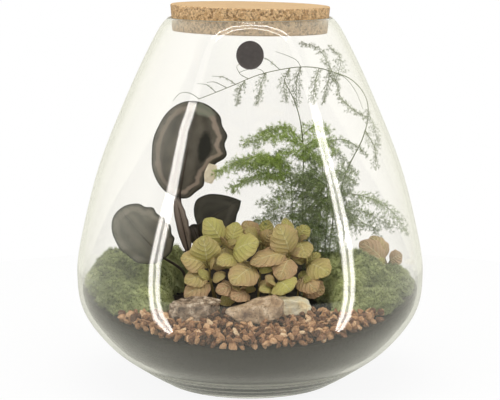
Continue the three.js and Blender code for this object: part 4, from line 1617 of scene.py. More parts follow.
@dataclass(frozen=True)
class PrayerPlant:
    """The prayer plant with dark leaves."""

    ground: Ground
    leaves: tuple[DarkLeaf, ...] = (
        DarkLeaf(
            "dark_leaf_tall", (-46, 16), ((-49, 14, 100),), (-55.5, 6, 141.5), (-40, 8, 217),
            58, 0.9, (-0.1, -1, 0.1), 0.08, 1.6,
            PrayerLeaf("prayer_leaf_ringed", blotch=0.9), bay=0.3, scrap=True,
        ),
        DarkLeaf(
            "dark_leaf_left", (-51, 5), ((-52, -4, 84),), (-66, -18, 98), (-98, -34, 140),
            41, 0.9, (-0.2, -0.95, 0.25), 0.1, 2,
            PrayerLeaf("prayer_leaf_grey", ring="#868175", field="#757266", streak="#54524a", ring_mm=4.0),
        ),
        DarkLeaf(
            "dark_leaf_right", (-39, 11), ((-37, 9, 92),), (-41, 3, 120), (-7, -4, 141),
            37, 1.8, (0.1, -0.9, 0.4), 0.12, 1,
            PrayerLeaf("prayer_leaf_black", ring="#48443b", field="#3c392f", streak="#262520"), early=0.62,
        ),
        DarkLeaf(
            "dark_leaf_folded", (-45, 1), ((-47, 0, 84),), (-48, -1, 99), (-58, -2, 144),
            10, 1.0, (0.3, -0.9, 0), 0.04, 0.4,
            PrayerLeaf(
                "prayer_leaf_purple", margin="#5a4d47", ring="#978a80", field="#8c7c72", streak="#665751",
                ring_mm=1.5,
            ),
        ),
        DarkLeaf(
            "dark_leaf_small", (-36, 20), ((-38, 16, 90),), (-40, 10, 104), (-46, 8, 120),
            13, 0.9, (0.2, -0.9, 0.3), 0.1, 0.8,
            PrayerLeaf("prayer_leaf_young", ring="#6b635c", field="#4a443e", streak="#2e2a26"),
        ),
    )
    thickness: float = 0.5
    sag: float = 0.08
    scallop: float = 0.045
    scallops: float = 34.0
    waves: float = 20.0
    bay_ends: Spot = (0.36, 0.5)
    stalk_radii: Spot = (1.7, 0.9)
    scrap_ends: Path = ((-29.0, -3, 169.5), (-32.5, -7, 155.5))

    def form(self, leaf: DarkLeaf) -> BladeForm:
        """Gives a leaf's outline with its scallops, and its waved relief.

        Args:
            leaf: the leaf.

        Returns:
            The form.
        """

        def outline(t: Array, s: Array) -> Array:
            """Draws one margin scalloped.

            Args:
                t: shares along the leaf.
                s: shares across it.

            Returns:
                Half the width.
            """
            reach = t**leaf.early
            rounded = np.sqrt(np.maximum(0, 4 * reach * (1 - reach))) ** leaf.fullness
            share = np.clip((t - self.bay_ends[0]) / (self.bay_ends[1] - self.bay_ends[0]), 0, 1)
            cut = leaf.bay * (1 - share * share * (3 - 2 * share))
            wave = self.scallop * np.sin(self.scallops * t + 2 * s)
            return np.maximum(leaf.width / 2 * rounded * (1 + (wave - cut) * np.maximum(s, 0)), 0.15)

        def relief(t: Array, s: Array) -> Array:
            """Gives the height: sagging sides and a waved margin."""
            wave = leaf.ripple * np.abs(s) ** 3 * np.sin(self.waves * t + 3 * s)
            return (wave - self.sag * leaf.width * s * s) * np.sin(np.pi * t)

        return BladeForm(rows=60, columns=34, thickness=self.thickness, outline=outline, relief=relief)

    def build(self) -> None:
        """Makes each leaf with its stalk."""
        for leaf in self.leaves:
            axes = BladeAxes.between(leaf.base, leaf.tip, leaf.face, leaf.arch)
            draft = Draft("along", "across", "edge")
            add_blade(draft, axes, self.form(leaf))
            ribs = [tuple(axes.midrib(share)) for share in (0.03, 0.1, 0.2, 0.45, 0.8)]
            path = smooth_path([*stem_foot(self.ground, leaf.foot), *leaf.stalk, *ribs], 6)
            radii = np.linspace(*self.stalk_radii, len(path)) * np.linspace(1, 0.5, len(path))
            add_tube(draft, path, radii, sides=9, slot=1)
            finishes = [leaf.finish, PlantStem("prayer_stalk", "#4a3c33", "#2d2722"), PaleScrap()]
            if leaf.scrap:
                self.add_pale_scrap(draft)
            settle(draft.build(leaf.name + "_fine", finishes), "dark_leaf", leaf.name)

    def add_pale_scrap(self, draft: Draft) -> None:
        """Adds the pale scrap that hangs on a leaf's margin.

        Args:
            draft: the leaf.
        """
        scrap = BladeAxes.between(*self.scrap_ends, face=(0.3, -1, 0.15), arch=0.06)

        def outline(t: Array, s: Array) -> Array:
            """Gives half the width of a blunt scrap."""
            return 4.6 * (0.55 + 0.45 * np.sin(np.pi * t) ** 0.4) + 0.25 * np.sin(9 * t + 3 * s)

        def relief(t: Array, s: Array) -> Array:
            """Gives its crumpled face."""
            return 0.5 * np.sin(5 * t + 2 * s) * s + 0.25 * np.sin(14 * t - 5 * s)

        form = BladeForm(rows=18, columns=14, thickness=0.6, outline=outline, relief=relief)
        add_blade(draft, scrap, form, slot=2)


@dataclass(frozen=True)
class NerveStem:
    """A stem of the nerve plant: joints, and leaves as base, tip, width and how rosy they are."""

    name: str
    foot: Spot
    joints: Path
    leaves: tuple[tuple[Place, Place, float, float], ...]


NERVE_STEMS = (
    NerveStem("nerve_stem_1", (-24, -18), ((-31, -26, 92), (-20, -20, 109)), (
        ((-22, -20, 112), (-35, -22, 130), 20, 0.0), ((-14, -20, 111), (-10, -14, 126), 15, 0.0),
        ((-33, -29, 97), (-36, -34, 119), 24, 0.12), ((-34, -29, 95), (-53, -36, 102), 20, 0.5),
        ((-13, -24, 104), (7, -34, 114), 24, 0.02), ((-11, -26, 100), (-25, -40, 98), 14, 0.25),
    )),
    NerveStem("nerve_stem_2", (-26, -30), ((-30, -32, 84),), (
        ((-33, -33, 88), (-50, -40, 84), 17, 0.45), ((-31, -34, 82), (-50, -42, 73), 18, 0.8),
    )),
    NerveStem("nerve_stem_3", (6, -6), ((10, -7, 108),), (
        ((4, -7, 111), (-5, -5, 125), 17, 0.75), ((6, -10, 110), (-4, -20, 121), 15, 0.3),
        ((11, -5, 112), (14, 2, 125), 13, 0.1), ((11, -11, 107), (17, -18, 120), 15, 0.6),
    )),
    NerveStem("nerve_stem_4", (26, -12), ((30, -22, 101),), (
        ((30, -25, 104), (21, -29, 127), 24, 0.45), ((31, -19, 106), (27, -12, 129), 13, 0.15),
        ((27, -26, 103), (0, -38, 98), 17, 0.65), ((30, -27, 100), (22, -41, 86), 20, 0.75),
    )),
    NerveStem("nerve_stem_5", (2, -24), ((-6, -32, 76), (5, -28, 92)), (
        ((3, -30, 94), (-14, -47, 84), 24, 0.6), ((-10, -36, 79), (-26, -45, 78), 15, 0.9),
        ((-2, -36, 75), (-14, -51, 73), 15, 0.95), ((-12, -31, 71), (-23, -35, 66), 11, 0.2),
    )),
    NerveStem("nerve_stem_6", (18, -28), ((20, -35, 82),), (
        ((22, -38, 84), (31, -50, 79.5), 23, 0.0), ((17, -39, 82), (12, -44, 90), 9, 0.6),
        ((16, -38, 79), (7, -47, 79), 9, 0.1),
    )),
    NerveStem("nerve_stem_7", (41, -8), ((44, -16, 94), (37, -9, 110)), (
        ((37, -8, 113), (46, -5, 121), 13, 0.0), ((38, -13, 110), (43, -26, 100), 18, 0.3),
        ((46, -19, 94), (61, -30, 88), 22, 0.35),
    )),
    NerveStem("nerve_stem_8", (36, -20), ((38, -22, 80),), (
        ((39, -24, 84), (51, -38, 76), 19, 0.8), ((42, -22, 78), (57, -29, 73), 19, 0.9),
    )),
    NerveStem("nerve_stem_9", (-8, 14), ((-12, 18, 86), (-6, 12, 100)), (
        ((-14, 20, 88), (-30, 28, 90), 22, 0.4), ((-10, 22, 88), (-4, 38, 84), 20, 0.3),
        ((-8, 14, 103), (-22, 8, 112), 19, 0.5), ((-4, 14, 103), (8, 20, 113), 19, 0.2),
    )),
    NerveStem("nerve_stem_10", (16, 16), ((18, 20, 82), (22, 14, 96)), (
        ((16, 23, 84), (8, 38, 86), 22, 0.4), ((22, 22, 84), (34, 30, 78), 18, 0.5),
        ((20, 12, 99), (8, 4, 102), 17, 0.2), ((25, 12, 98), (36, 4, 98), 17, 0.3),
    )),
    NerveStem("nerve_stem_back", (104, 44), ((112, 38, 82),), (
        ((109, 38, 84), (89, 40, 100), 22, 0.9), ((114, 37, 85), (124, 34, 91), 15, 0.9),
        ((110, 41, 87), (99, 50, 103), 18, 0.7),
    )),
)


@dataclass(frozen=True)
class NervePlant:
    """The nerve plant, with pairs of leaves at the joints of its stems."""

    ground: Ground
    stems: tuple[NerveStem, ...] = NERVE_STEMS
    face: Place = (0, -0.75, 0.66)
    arch: float = 0.14
    curl: float = 0.16
    thickness: float = 0.45
    widest_before: float = 0.85
    fullness: float = 0.6
    stem_radii: Spot = (1.3, 0.8)
    petiole: float = 0.6
    petiole_sag: float = 0.3
    veins: int = 6
    vein_slant: float = 0.32
    pucker: float = 0.006
    wave: float = 0.05
    fold: float = 0.05
    young: int = 4
    young_lengths: Spot = (8.0, 14.0)
    young_width: float = 0.72
    young_petiole: float = 0.4

    def form(self, width: float, phase: float, rows: int = 30, columns: int = 19) -> BladeForm:
        """Gives a leaf's outline, and its relief: curled, puckered between the veins, with a waved margin.

        Args:
            width: the leaf's width.
            phase: where its waves start, so that no two leaves are alike.
            rows: the rows of its grid.
            columns: the columns of its grid.

        Returns:
            The form.
        """

        def outline(t: Array, s: Array) -> Array:
            """Draws both margins waved, from the petiole to a blunt tip.

            Args:
                t: shares along the leaf.
                s: shares across it.

            Returns:
                Half the width.
            """
            full = width / 2 * np.sin(np.pi * np.minimum(t, 1) ** self.widest_before) ** self.fullness
            wave = 1 + 0.04 * np.abs(s) * np.sin(22 * t + phase + 2 * s)
            return np.maximum(np.nan_to_num(full) * wave, 0.2 + 0.4 * (1 - t))

        def relief(t: Array, s: Array) -> Array:
            """Draws the puckers, the fold and the curl.

            Args:
                t: shares along the leaf.
                s: shares across it.

            Returns:
                The height over the flat blade.
            """
            side = np.abs(s)
            ridge = np.abs(np.sin((t - self.vein_slant * side**1.4) * self.veins * np.pi))
            bulge = ridge * np.minimum(side * 3, 1) * (1 - side**4)
            wave = self.wave * width * side**3 * np.sin(11 * t + phase + 1.5 * s)
            fold = self.fold * width * side
            height = self.pucker * width * bulge + wave + fold - self.curl * width * s * s
            return height * np.sin(np.pi * t)

        return BladeForm(rows, columns, self.thickness, outline, relief)

    def build(self) -> None:
        """Makes each stem with its leaves."""
        finishes = [NerveLeaf(), PlantStem("nerve_stem_green", "#9c9750", "#8a6f4a")]
        for stem in self.stems:
            draft = Draft("along", "across", "tint")
            path = smooth_path([*stem_foot(self.ground, stem.foot), *stem.joints], 6)
            add_tube(draft, path, np.linspace(*self.stem_radii, len(path)), sides=8, slot=1)
            for number, (base, tip, width, rosy) in enumerate(stem.leaves):
                axes = BladeAxes.between(base, tip, self.face, self.arch)
                add_blade(draft, axes, self.form(width, 1.7 * number), tint=rosy)
                joint = min(stem.joints, key=lambda place: math.dist(place, base))
                halfway = (np.array(joint) + np.array(base)) / 2 - UP * self.petiole_sag
                neck = [joint, tuple(halfway), base, axes.midrib(0.12)]
                add_tube(draft, smooth_path(neck, 4), self.petiole, sides=6, slot=1)
            self.add_young(draft, stem)
            settle(draft.build(stem.name + "_fine", finishes), "nerve_leaf", stem.name)

    def add_young(self, draft: Draft, stem: NerveStem) -> None:
        """Adds small young leaves at the stem's joints, between and under the large ones.

        Args:
            draft: the stem.
            stem: the stem.
        """
        rng = np.random.default_rng(100 + round(stem.foot[0]))
        for joint in stem.joints:
            for _ in range(self.young):
                turn = rng.uniform(0, 2 * np.pi)
                lean = np.array([math.cos(turn), 0.8 * math.sin(turn), rng.uniform(-0.1, 0.7)])
                base = np.array(joint) + unit(lean) * 2.0
                length = rng.uniform(*self.young_lengths)
                tip = base + unit(lean) * length
                axes = BladeAxes.between(tuple(base), tuple(tip), self.face, self.arch)
                form = self.form(self.young_width * length, turn, rows=14, columns=9)
                add_blade(draft, axes, form, tint=rng.uniform(0.0, 0.6))
                neck = [joint, tuple(base), axes.midrib(0.15)]
                add_tube(draft, smooth_path(neck, 3), self.young_petiole, sides=5, slot=1)


@dataclass(frozen=True)
class Feather:
    """How a spray is feathered. The branches droop by a share of their length and roll out of its plane."""

    branch_gap: float
    branch: float
    twig_gap: float
    twig: float
    needle: float
    droop: float
    roll: float


class Plume(Enum):
    """The kinds of spray."""

    DENSE = Feather(3.0, 18.0, 2.2, 6.0, 2.7, 0.22, 0.5)
    BUSHY = Feather(2.7, 21.0, 2.2, 6.4, 2.8, 0.3, 1.5)
    AIRY = Feather(3.4, 17.0, 2.4, 5.0, 2.5, 0.3, 0.7)
    NARROW = Feather(3.0, 9.5, 2.2, 3.4, 2.3, 0.35, 0.9)
    LIGHT = Feather(2.9, 7.5, 2.4, 2.8, 2.0, 0.4, 0.9)
    BARE = Feather(5.0, 2.6, 2.4, 1.0, 1.3, 0.1, 0.5)


@dataclass(frozen=True)
class FernShoot:
    """A shoot of the fern: its stem's places, and its sprays along their ribs.

    bare numbers the sprays with hardly a needle. Twigs are threads and fill is short sprays that the CAD
    node leaves out.
    """

    name: str
    foot: Spot
    stem: Path
    sprays: tuple[Path, ...]
    plume: Plume = Plume.DENSE
    tint: float = 0.5
    stem_radii: Spot = (0.65, 0.32)
    bare: tuple[int, ...] = ()
    twigs: tuple[Path, ...] = ()
    fill: tuple[Path, ...] = ()


FERN_SHOOTS = (
    FernShoot("fern_shoot_1", (72, 46), (
        (76, 38, 104), (74, 28, 127), (73, 20, 149), (79, 14, 168), (88, 8, 188), (92, 4, 206),
        (91, 2, 219), (86, 0, 228), (77, 0, 236), (67, 0, 240), (53, -2, 244), (39, -4, 245), (23, -6, 243),
        (6, -8, 239), (-11, -8, 232), (-26, -9, 226), (-39, -10, 221),
    ), (
        ((92, 4, 206), (84, 0, 209), (70, -2, 222), (66, -2, 234)),
        ((66, -2, 234), (60, -4, 248), (52, -4, 259), (40, -6, 264)),
        ((66, -2, 234), (70, 4, 250), (62, 6, 260)), ((53, -2, 244), (50, -8, 234), (48, -10, 220)),
        ((62, -1, 242), (60, 6, 230), (58, 8, 218)), ((39, -4, 245), (36, 2, 234), (36, 4, 216)),
        ((30, -5, 244), (26, -12, 234), (27, -14, 221)), ((12, -7, 241), (8, -12, 231), (6, -14, 219)),
        ((-4, -8, 235), (-8, -3, 227), (-10, -2, 218)), ((23, -6, 243), (12, -12, 252), (3, -14, 254)),
        ((-11, -8, 232), (-20, -14, 238), (-29, -16, 239)),
        ((-26, -9, 226), (-33, -12, 232), (-40, -13, 233)), ((91, 3, 212), (97, 8, 199), (101, 10, 184)),
        ((90, 6, 195), (97, 0, 182), (98, -2, 168)),
    ), plume=Plume.LIGHT, tint=0.3, stem_radii=(0.6, 0.26), bare=(9, 10, 11), twigs=(
        ((-1, -8, 236), (-7, -9, 239.5), (-8, -10, 241), (-4, -11, 243), (1, -11, 244.3)),
        ((-8, -10, 241), (-9.5, -11, 243.5), (-10, -12, 246.5), (-6.6, -12, 248)),
        ((11, -8, 240.5), (8.6, -9, 243), (4.3, -10, 244.3)),
        ((39, -4, 245), (35.8, -5, 250), (29, -6, 253.6), (19.5, -7, 257)),
        ((-18, -8.5, 229.5), (-27.5, -10, 234), (-33, -11, 233.7)),
        ((-39, -10, 221), (-44, -10, 224.5), (-49, -10, 226), (-54, -10, 225), (-59, -10, 219.5)),
        ((67, 0, 240), (74, 2, 236), (82, 3, 226), (88, 4, 212)),
    )),
    FernShoot("fern_shoot_2", (43, 40), (
        (43, 32, 100), (42, 25, 128), (42, 20, 155), (42, 15, 180), (39, 11, 203), (34, 9, 219),
        (27, 8, 232),
    ), (
        ((42, 15, 180), (24, 8, 190), (-2, -2, 187)), ((42, 14, 184), (30, 20, 194), (10, 26, 192)),
        ((42, 16, 176), (56, 10, 186), (66, 4, 180)), ((41, 14, 190), (50, 20, 196), (60, 26, 194)),
    ), tint=0.8, fill=(
        ((42, 15, 178), (50, 8, 187), (59, 2, 184)), ((42, 16, 172), (33, 8, 178), (22, 4, 174)),
        ((42, 16, 170), (49, 8, 175), (57, 2, 171)),
    )),
    FernShoot("fern_shoot_3", (34, 33), (
        (34, 30, 95), (34, 26, 120), (33, 21, 146), (31, 16, 166),
    ), (
        ((31, 16, 166), (10, 0, 176), (-25, -16, 166)), ((33, 20, 150), (10, 12, 160), (-14, 4, 150)),
        ((32, 18, 158), (14, 26, 168), (-8, 34, 164)),
    ), tint=0.78, fill=(
        ((31, 16, 164), (20, 8, 171), (6, 0, 168)), ((32, 17, 156), (22, 8, 161), (10, 2, 157)),
        ((33, 20, 150), (42, 12, 156), (52, 4, 151)),
    )),
    FernShoot("fern_shoot_4", (54, 44), (
        (55, 40, 100), (57, 36, 130), (58, 31, 162), (59, 26, 184),
    ), (
        ((59, 26, 184), (75, 18, 186), (91, 10, 177)), ((58, 29, 170), (71, 30, 173), (82, 30, 160)),
        ((57, 34, 146), (71, 40, 156), (86, 44, 148)), ((58, 30, 164), (50, 42, 172), (40, 54, 168)),
    ), plume=Plume.NARROW, tint=0.4),
    FernShoot("fern_shoot_5", (63, 35), (
        (64, 30, 96), (66, 25, 118), (67, 21, 136), (66, 18, 148),
    ), (
        ((66, 19, 144), (91, 10, 142), (112, 4, 131), (122, 0, 118)),
        ((67, 22, 131), (90, 16, 129), (110, 14, 119)), ((66, 25, 116), (88, 26, 119), (102, 27, 112)),
    ), plume=Plume.AIRY, tint=0.42),
    FernShoot("fern_shoot_6", (50, 31), (
        (50, 27, 92), (52, 21, 112), (53, 16, 130), (52, 12, 146),
    ), (
        ((52, 13, 142), (35, 5, 147), (12, -4, 138)), ((53, 16, 128), (32, 10, 130), (8, 3, 122)),
        ((52, 20, 114), (38, 10, 118), (25, 3, 115)), ((52, 14, 138), (60, 2, 142), (66, -8, 138)),
    ), plume=Plume.BUSHY, tint=0.45),
    FernShoot("fern_shoot_7", (60, 25), (
        (60, 21, 100), (61, 16, 122), (61, 12, 144), (58, 8, 164),
    ), (
        ((61, 18, 114), (54, 6, 120), (48, -4, 116)), ((61, 14, 132), (72, 6, 134), (82, -2, 128)),
        ((59, 9, 158), (68, 4, 164), (78, 0, 158)), ((59, 9, 156), (48, 2, 164), (36, -4, 160)),
    ), plume=Plume.BUSHY, tint=0.4, fill=(
        ((60, 20, 98), (54, 10, 100), (46, 2, 92)), ((61, 18, 108), (66, 8, 112), (70, 0, 104)),
        ((61, 17, 114), (54, 12, 117), (45, 8, 110)), ((60, 19, 104), (52, 14, 108), (42, 10, 101)),
        ((61, 14, 134), (54, 6, 138), (46, 0, 132)), ((59, 9, 152), (52, 2, 156), (46, -4, 150)),
        ((61, 16, 122), (52, 8, 128), (43, 2, 121)), ((61, 14, 126), (68, 12, 134), (73, 8, 128)),
        ((61, 12, 140), (51, 6, 147), (42, 2, 142)), ((60, 12, 146), (66, 8, 153), (71, 4, 147)),
        ((58, 8, 160), (50, 8, 164), (43, 6, 157)), ((60, 22, 92), (64, 14, 96), (67, 6, 90)),
    )),
)


@dataclass(frozen=True)
class AsparagusFern:
    """The asparagus fern: drooping plumes whose branches bear twigs that bristle with fine needles."""

    vessel: Vessel
    ground: Ground
    shoots: tuple[FernShoot, ...] = FERN_SHOOTS
    rib_radii: Spot = (0.3, 0.14)
    branch_radii: Spot = (0.2, 0.08)
    branch_lengths: Spot = (0.6, 1.1)
    twig_radius: float = 0.12
    twig_lengths: Spot = (0.6, 1.15)
    needle_radius: float = 0.14
    lean: Spot = (0.5, 1.0)
    needle_lean: Spot = (0.3, 1.0)
    needles: int = 4
    shortest_branch: float = 1.2
    cluster_gap: float = 1.5
    seed: int = 60

    def build(self) -> None:
        """Makes each shoot."""
        stem_finish = PlantStem("fern_stem_green", "#8b9568", "#6a714f")
        # The hanging shoot gets a paler copy of the needles: painted light that lifts the shade on these
        # backlit sprays.
        painted_light_needles = FernNeedle("fern_needles_painted_light", "#b2bb9b", "#bdc9a2", "#cfdcae")
        for number, shoot in enumerate(self.shoots):
            rng = np.random.default_rng(self.seed + number)
            draft = Draft("tint")
            path = smooth_path([*stem_foot(self.ground, shoot.foot), *shoot.stem], 8)
            add_tube(draft, path, np.linspace(*shoot.stem_radii, len(path)), sides=7, slot=1)
            for twig in shoot.twigs:
                thread = smooth_path(twig, 6)
                add_tube(draft, thread, np.linspace(*self.rib_radii, len(thread)), sides=4, slot=1)
            for spray_number, spray in enumerate((*shoot.sprays, *shoot.fill)):
                plume = Plume.BARE if spray_number in shoot.bare else shoot.plume
                self.add_plume(draft, rng, spray, plume.value, shoot.tint)
            finishes = [painted_light_needles if shoot.plume is Plume.LIGHT else FernNeedle(), stem_finish]
            settle(draft.build(shoot.name + "_fine", finishes), "fern", shoot.name)

    def add_plume(self, draft: Draft, rng: Random, spray: Path, feather: Feather, tint: float) -> None:
        """Adds a spray: its rib, and its branches to both sides, rolled so that the plume has height.

        Args:
            draft: the shoot.
            rng: the random numbers.
            spray: the rib's places.
            feather: how it is feathered.
            tint: its tint.
        """
        rib, along = even_path(spray, feather.branch_gap / 2)
        add_tube(draft, rib, np.linspace(*self.rib_radii, len(rib)), sides=4, slot=1)
        count = len(rib)
        share = np.linspace(0, 1, count)
        hand = np.where(np.arange(count) % 2, 1.0, -1.0)[:, None]
        rolled = rng.uniform(-feather.roll, feather.roll, (count, 1))
        plane = unit(UP - along * (along @ UP)[:, None])
        level = np.cross(along, plane) * hand
        side = level * np.cos(rolled) + plane * np.sin(rolled)
        # The branches are short at the foot, soon full, and shorter again to the tip.
        profile = np.minimum(1, 0.35 + 2.2 * share) * (1 - 0.65 * share**1.4)
        reach = feather.branch * profile * rng.uniform(*self.branch_lengths, count)
        out = unit(side + along * rng.uniform(*self.lean, (count, 1)))
        for i in np.flatnonzero(reach >= self.shortest_branch):
            # Branches nearer a spray's foot get a fresher tint, which also carries painted light.
            fresh_and_lit = tint + 0.28 * (1 - share[i])
            self.add_branch(draft, rng, rib[i], out[i], reach[i], feather, fresh_and_lit)

    def add_branch(
        self, draft: Draft, rng: Random, foot: Array, out: Array, reach: float, feather: Feather, tint: float
    ) -> None:
        """Adds a drooping branch with its twigs and needles.

        Args:
            draft: the shoot.
            rng: the random numbers.
            foot: where it leaves the rib.
            out: the way that it leaves.
            reach: its length.
            feather: how it is feathered.
            tint: its tint at the rib.
        """
        steps = max(3, round(reach / feather.twig_gap))
        share = np.linspace(0, 1, steps + 1)[:, None]
        places = foot + out * reach * share - UP * feather.droop * reach * share**2
        if not self.vessel.holds(places, 1.0).all():
            places = self.vessel.keep_in(places, 1.4)
        add_tube(draft, places, np.linspace(*self.branch_radii, steps + 1), sides=3, tint=tint * 0.8)
        along = unit(np.gradient(places, axis=0))
        spin = rng.uniform(0, np.pi, (steps + 1, 1))
        side = unit(np.cross(along, UP))
        over = np.cross(side, along)
        hand = np.where(np.arange(steps + 1) % 2, 1.0, -1.0)[:, None]
        across = (side * np.cos(spin) + over * np.sin(spin)) * hand
        length = feather.twig * (1 - 0.6 * share[:, 0]) * rng.uniform(*self.twig_lengths, steps + 1)
        twigs = unit(across + along * rng.uniform(*self.lean, (steps + 1, 1)) - 0.1 * UP)
        clusters = max(1, round(feather.twig / self.cluster_gap))
        where = (np.arange(clusters) + 0.8) / clusters
        feet = places[:, None] + twigs[:, None] * (length[:, None] * where)[..., None]
        tints = np.broadcast_to(tint - 0.3 * share, (steps + 1, clusters))
        aims = twigs * length[:, None]
        fits = self.vessel.holds(places + aims, 0.8)
        add_spikes(draft, places[fits], aims[fits], self.twig_radius, tint=(tint - 0.1, tint - 0.1))
        self.add_needles(draft, rng, feet, twigs, feather.needle, tints)

    def add_needles(
        self, draft: Draft, rng: Random, feet: Array, along: Array, length: float, tints: Array
    ) -> None:
        """Adds a cluster of needles at each foot, leaning towards the end of their twig.

        Args:
            draft: the shoot.
            rng: the random numbers.
            feet: the feet, as twigs by steps along them.
            along: each twig's direction.
            length: the needles' length.
            tints: the tint at each foot.
        """
        shape = (*feet.shape[:2], self.needles)
        out = rng.normal(size=(*shape, 3))
        out -= along[:, None, None] * (out * along[:, None, None]).sum(axis=-1, keepdims=True)
        aims = unit(unit(out) + rng.uniform(*self.needle_lean, shape)[..., None] * along[:, None, None])
        aims = (aims * (length * rng.uniform(*self.twig_lengths, shape))[..., None]).reshape(-1, 3)
        starts = np.broadcast_to(feet[:, :, None], (*shape, 3)).reshape(-1, 3)
        own = np.broadcast_to(tints[..., None], shape).ravel()
        fits = self.vessel.holds(starts + aims, 0.6) & self.vessel.holds(starts, 0.6)
        own = np.clip(own[fits] + rng.normal(0, 0.1, int(fits.sum())), 0, 1)
        add_spikes(draft, starts[fits], aims[fits], self.needle_radius, tint=(own - 0.08, own + 0.06))


@dataclass(frozen=True)
class WhiteSweep(Finish):
    """White background paper. Seen directly it is lit evenly, with a faint contact shadow."""

    name: str = "paper_sweep_white"
    paper: str = "#f2f2f0"
    mirror_tone: str = "#f7f7ea"
    shadow: float = 0.1
    through_glass: float = 1.16
    mirrored: float = 0.85
    scattered: float = 0.6
    foot_shade: float = 0.8
    shade_start_mm: float = 68.0
    shade_width_mm: float = 75.0

    def paint(self, on: Palette) -> Field:
        """Mixes the paper with an even glow, which mirrors see shaded next to the foot.

        Args:
            on: the nodes that it adds to.

        Returns:
            The shader.
        """
        place = on.add("TexCoord", output="Object")
        reach = on.add("VectorMath", {"operation": "LENGTH"}, {0: place}, "Value")
        lit = ((reach - self.shade_start_mm * MM) / (self.shade_width_mm * MM)).clamped()
        shade = lit * (1 - self.foot_shade) + self.foot_shade
        glow = on.add("Emission", None, self.light(on, shade))
        paper = on.add("BsdfDiffuse", None, {"Color": self.paper})
        share = on.add("LightPath", output="Is Camera Ray") * self.shadow
        return on.add("MixShader", None, {0: share, 1: glow, 2: paper})

    def light(self, on: Palette, tent: Field) -> dict[str, Field]:
        """Works out the white surroundings' light to a ray: direct, through glass, off a mirror or scattered.

        Args:
            on: the nodes of the floor or of the surroundings.
            tent: how bright mirrors see them here, as a share.

        Returns:
            The colour, with a breath of olive in mirrors, and the strength.
        """
        path = on.add("LightPath")
        mirror = path["Glossy Depth"].least(1.0)
        seen = path["Transmission Depth"].least(1.0) * (self.through_glass - 1.0) + 1.0
        bright = mirror.blend(seen, tent * self.mirrored)
        strength = path["Diffuse Depth"].least(1.0).blend(bright, self.scattered)
        return {"Color": mirror.between("#ffffff", self.mirror_tone), "Strength": strength}


@dataclass(frozen=True)
class LampStrip(Finish):
    """The bright strip of a studio lamp: two tubes side by side, with a dimmer middle."""

    name: str = "lamp_strip"
    strength: float = 20.0
    tone: str = "#fffbf5"
    deepest: float = 2.5
    tube_rise: float = 5.0
    rim_fall: float = 2.8
    rim_power: float = 1.6

    def paint(self, on: Palette) -> Field:
        """Adds the tubes' light, and the middle's as bright as the strip's own value says.

        Args:
            on: the nodes that it adds to.

        Returns:
            The shader.
        """
        names = ("across", "gap", "fill")
        across, gap, fill = (on.add("Attribute", {"attribute_name": name}, output="Fac") for name in names)
        side = abs(across)
        bright = side.rise(gap, self.tube_rise).most(fill)
        soft = ((1.0 - side) * self.rim_fall).clamped() ** self.rim_power
        depth = on.add("LightPath", output="Transmission Depth")
        strength = bright * soft * depth.worked("LESS_THAN", self.deepest) * self.strength
        return on.add("Emission", None, {"Color": self.tone, "Strength": strength})


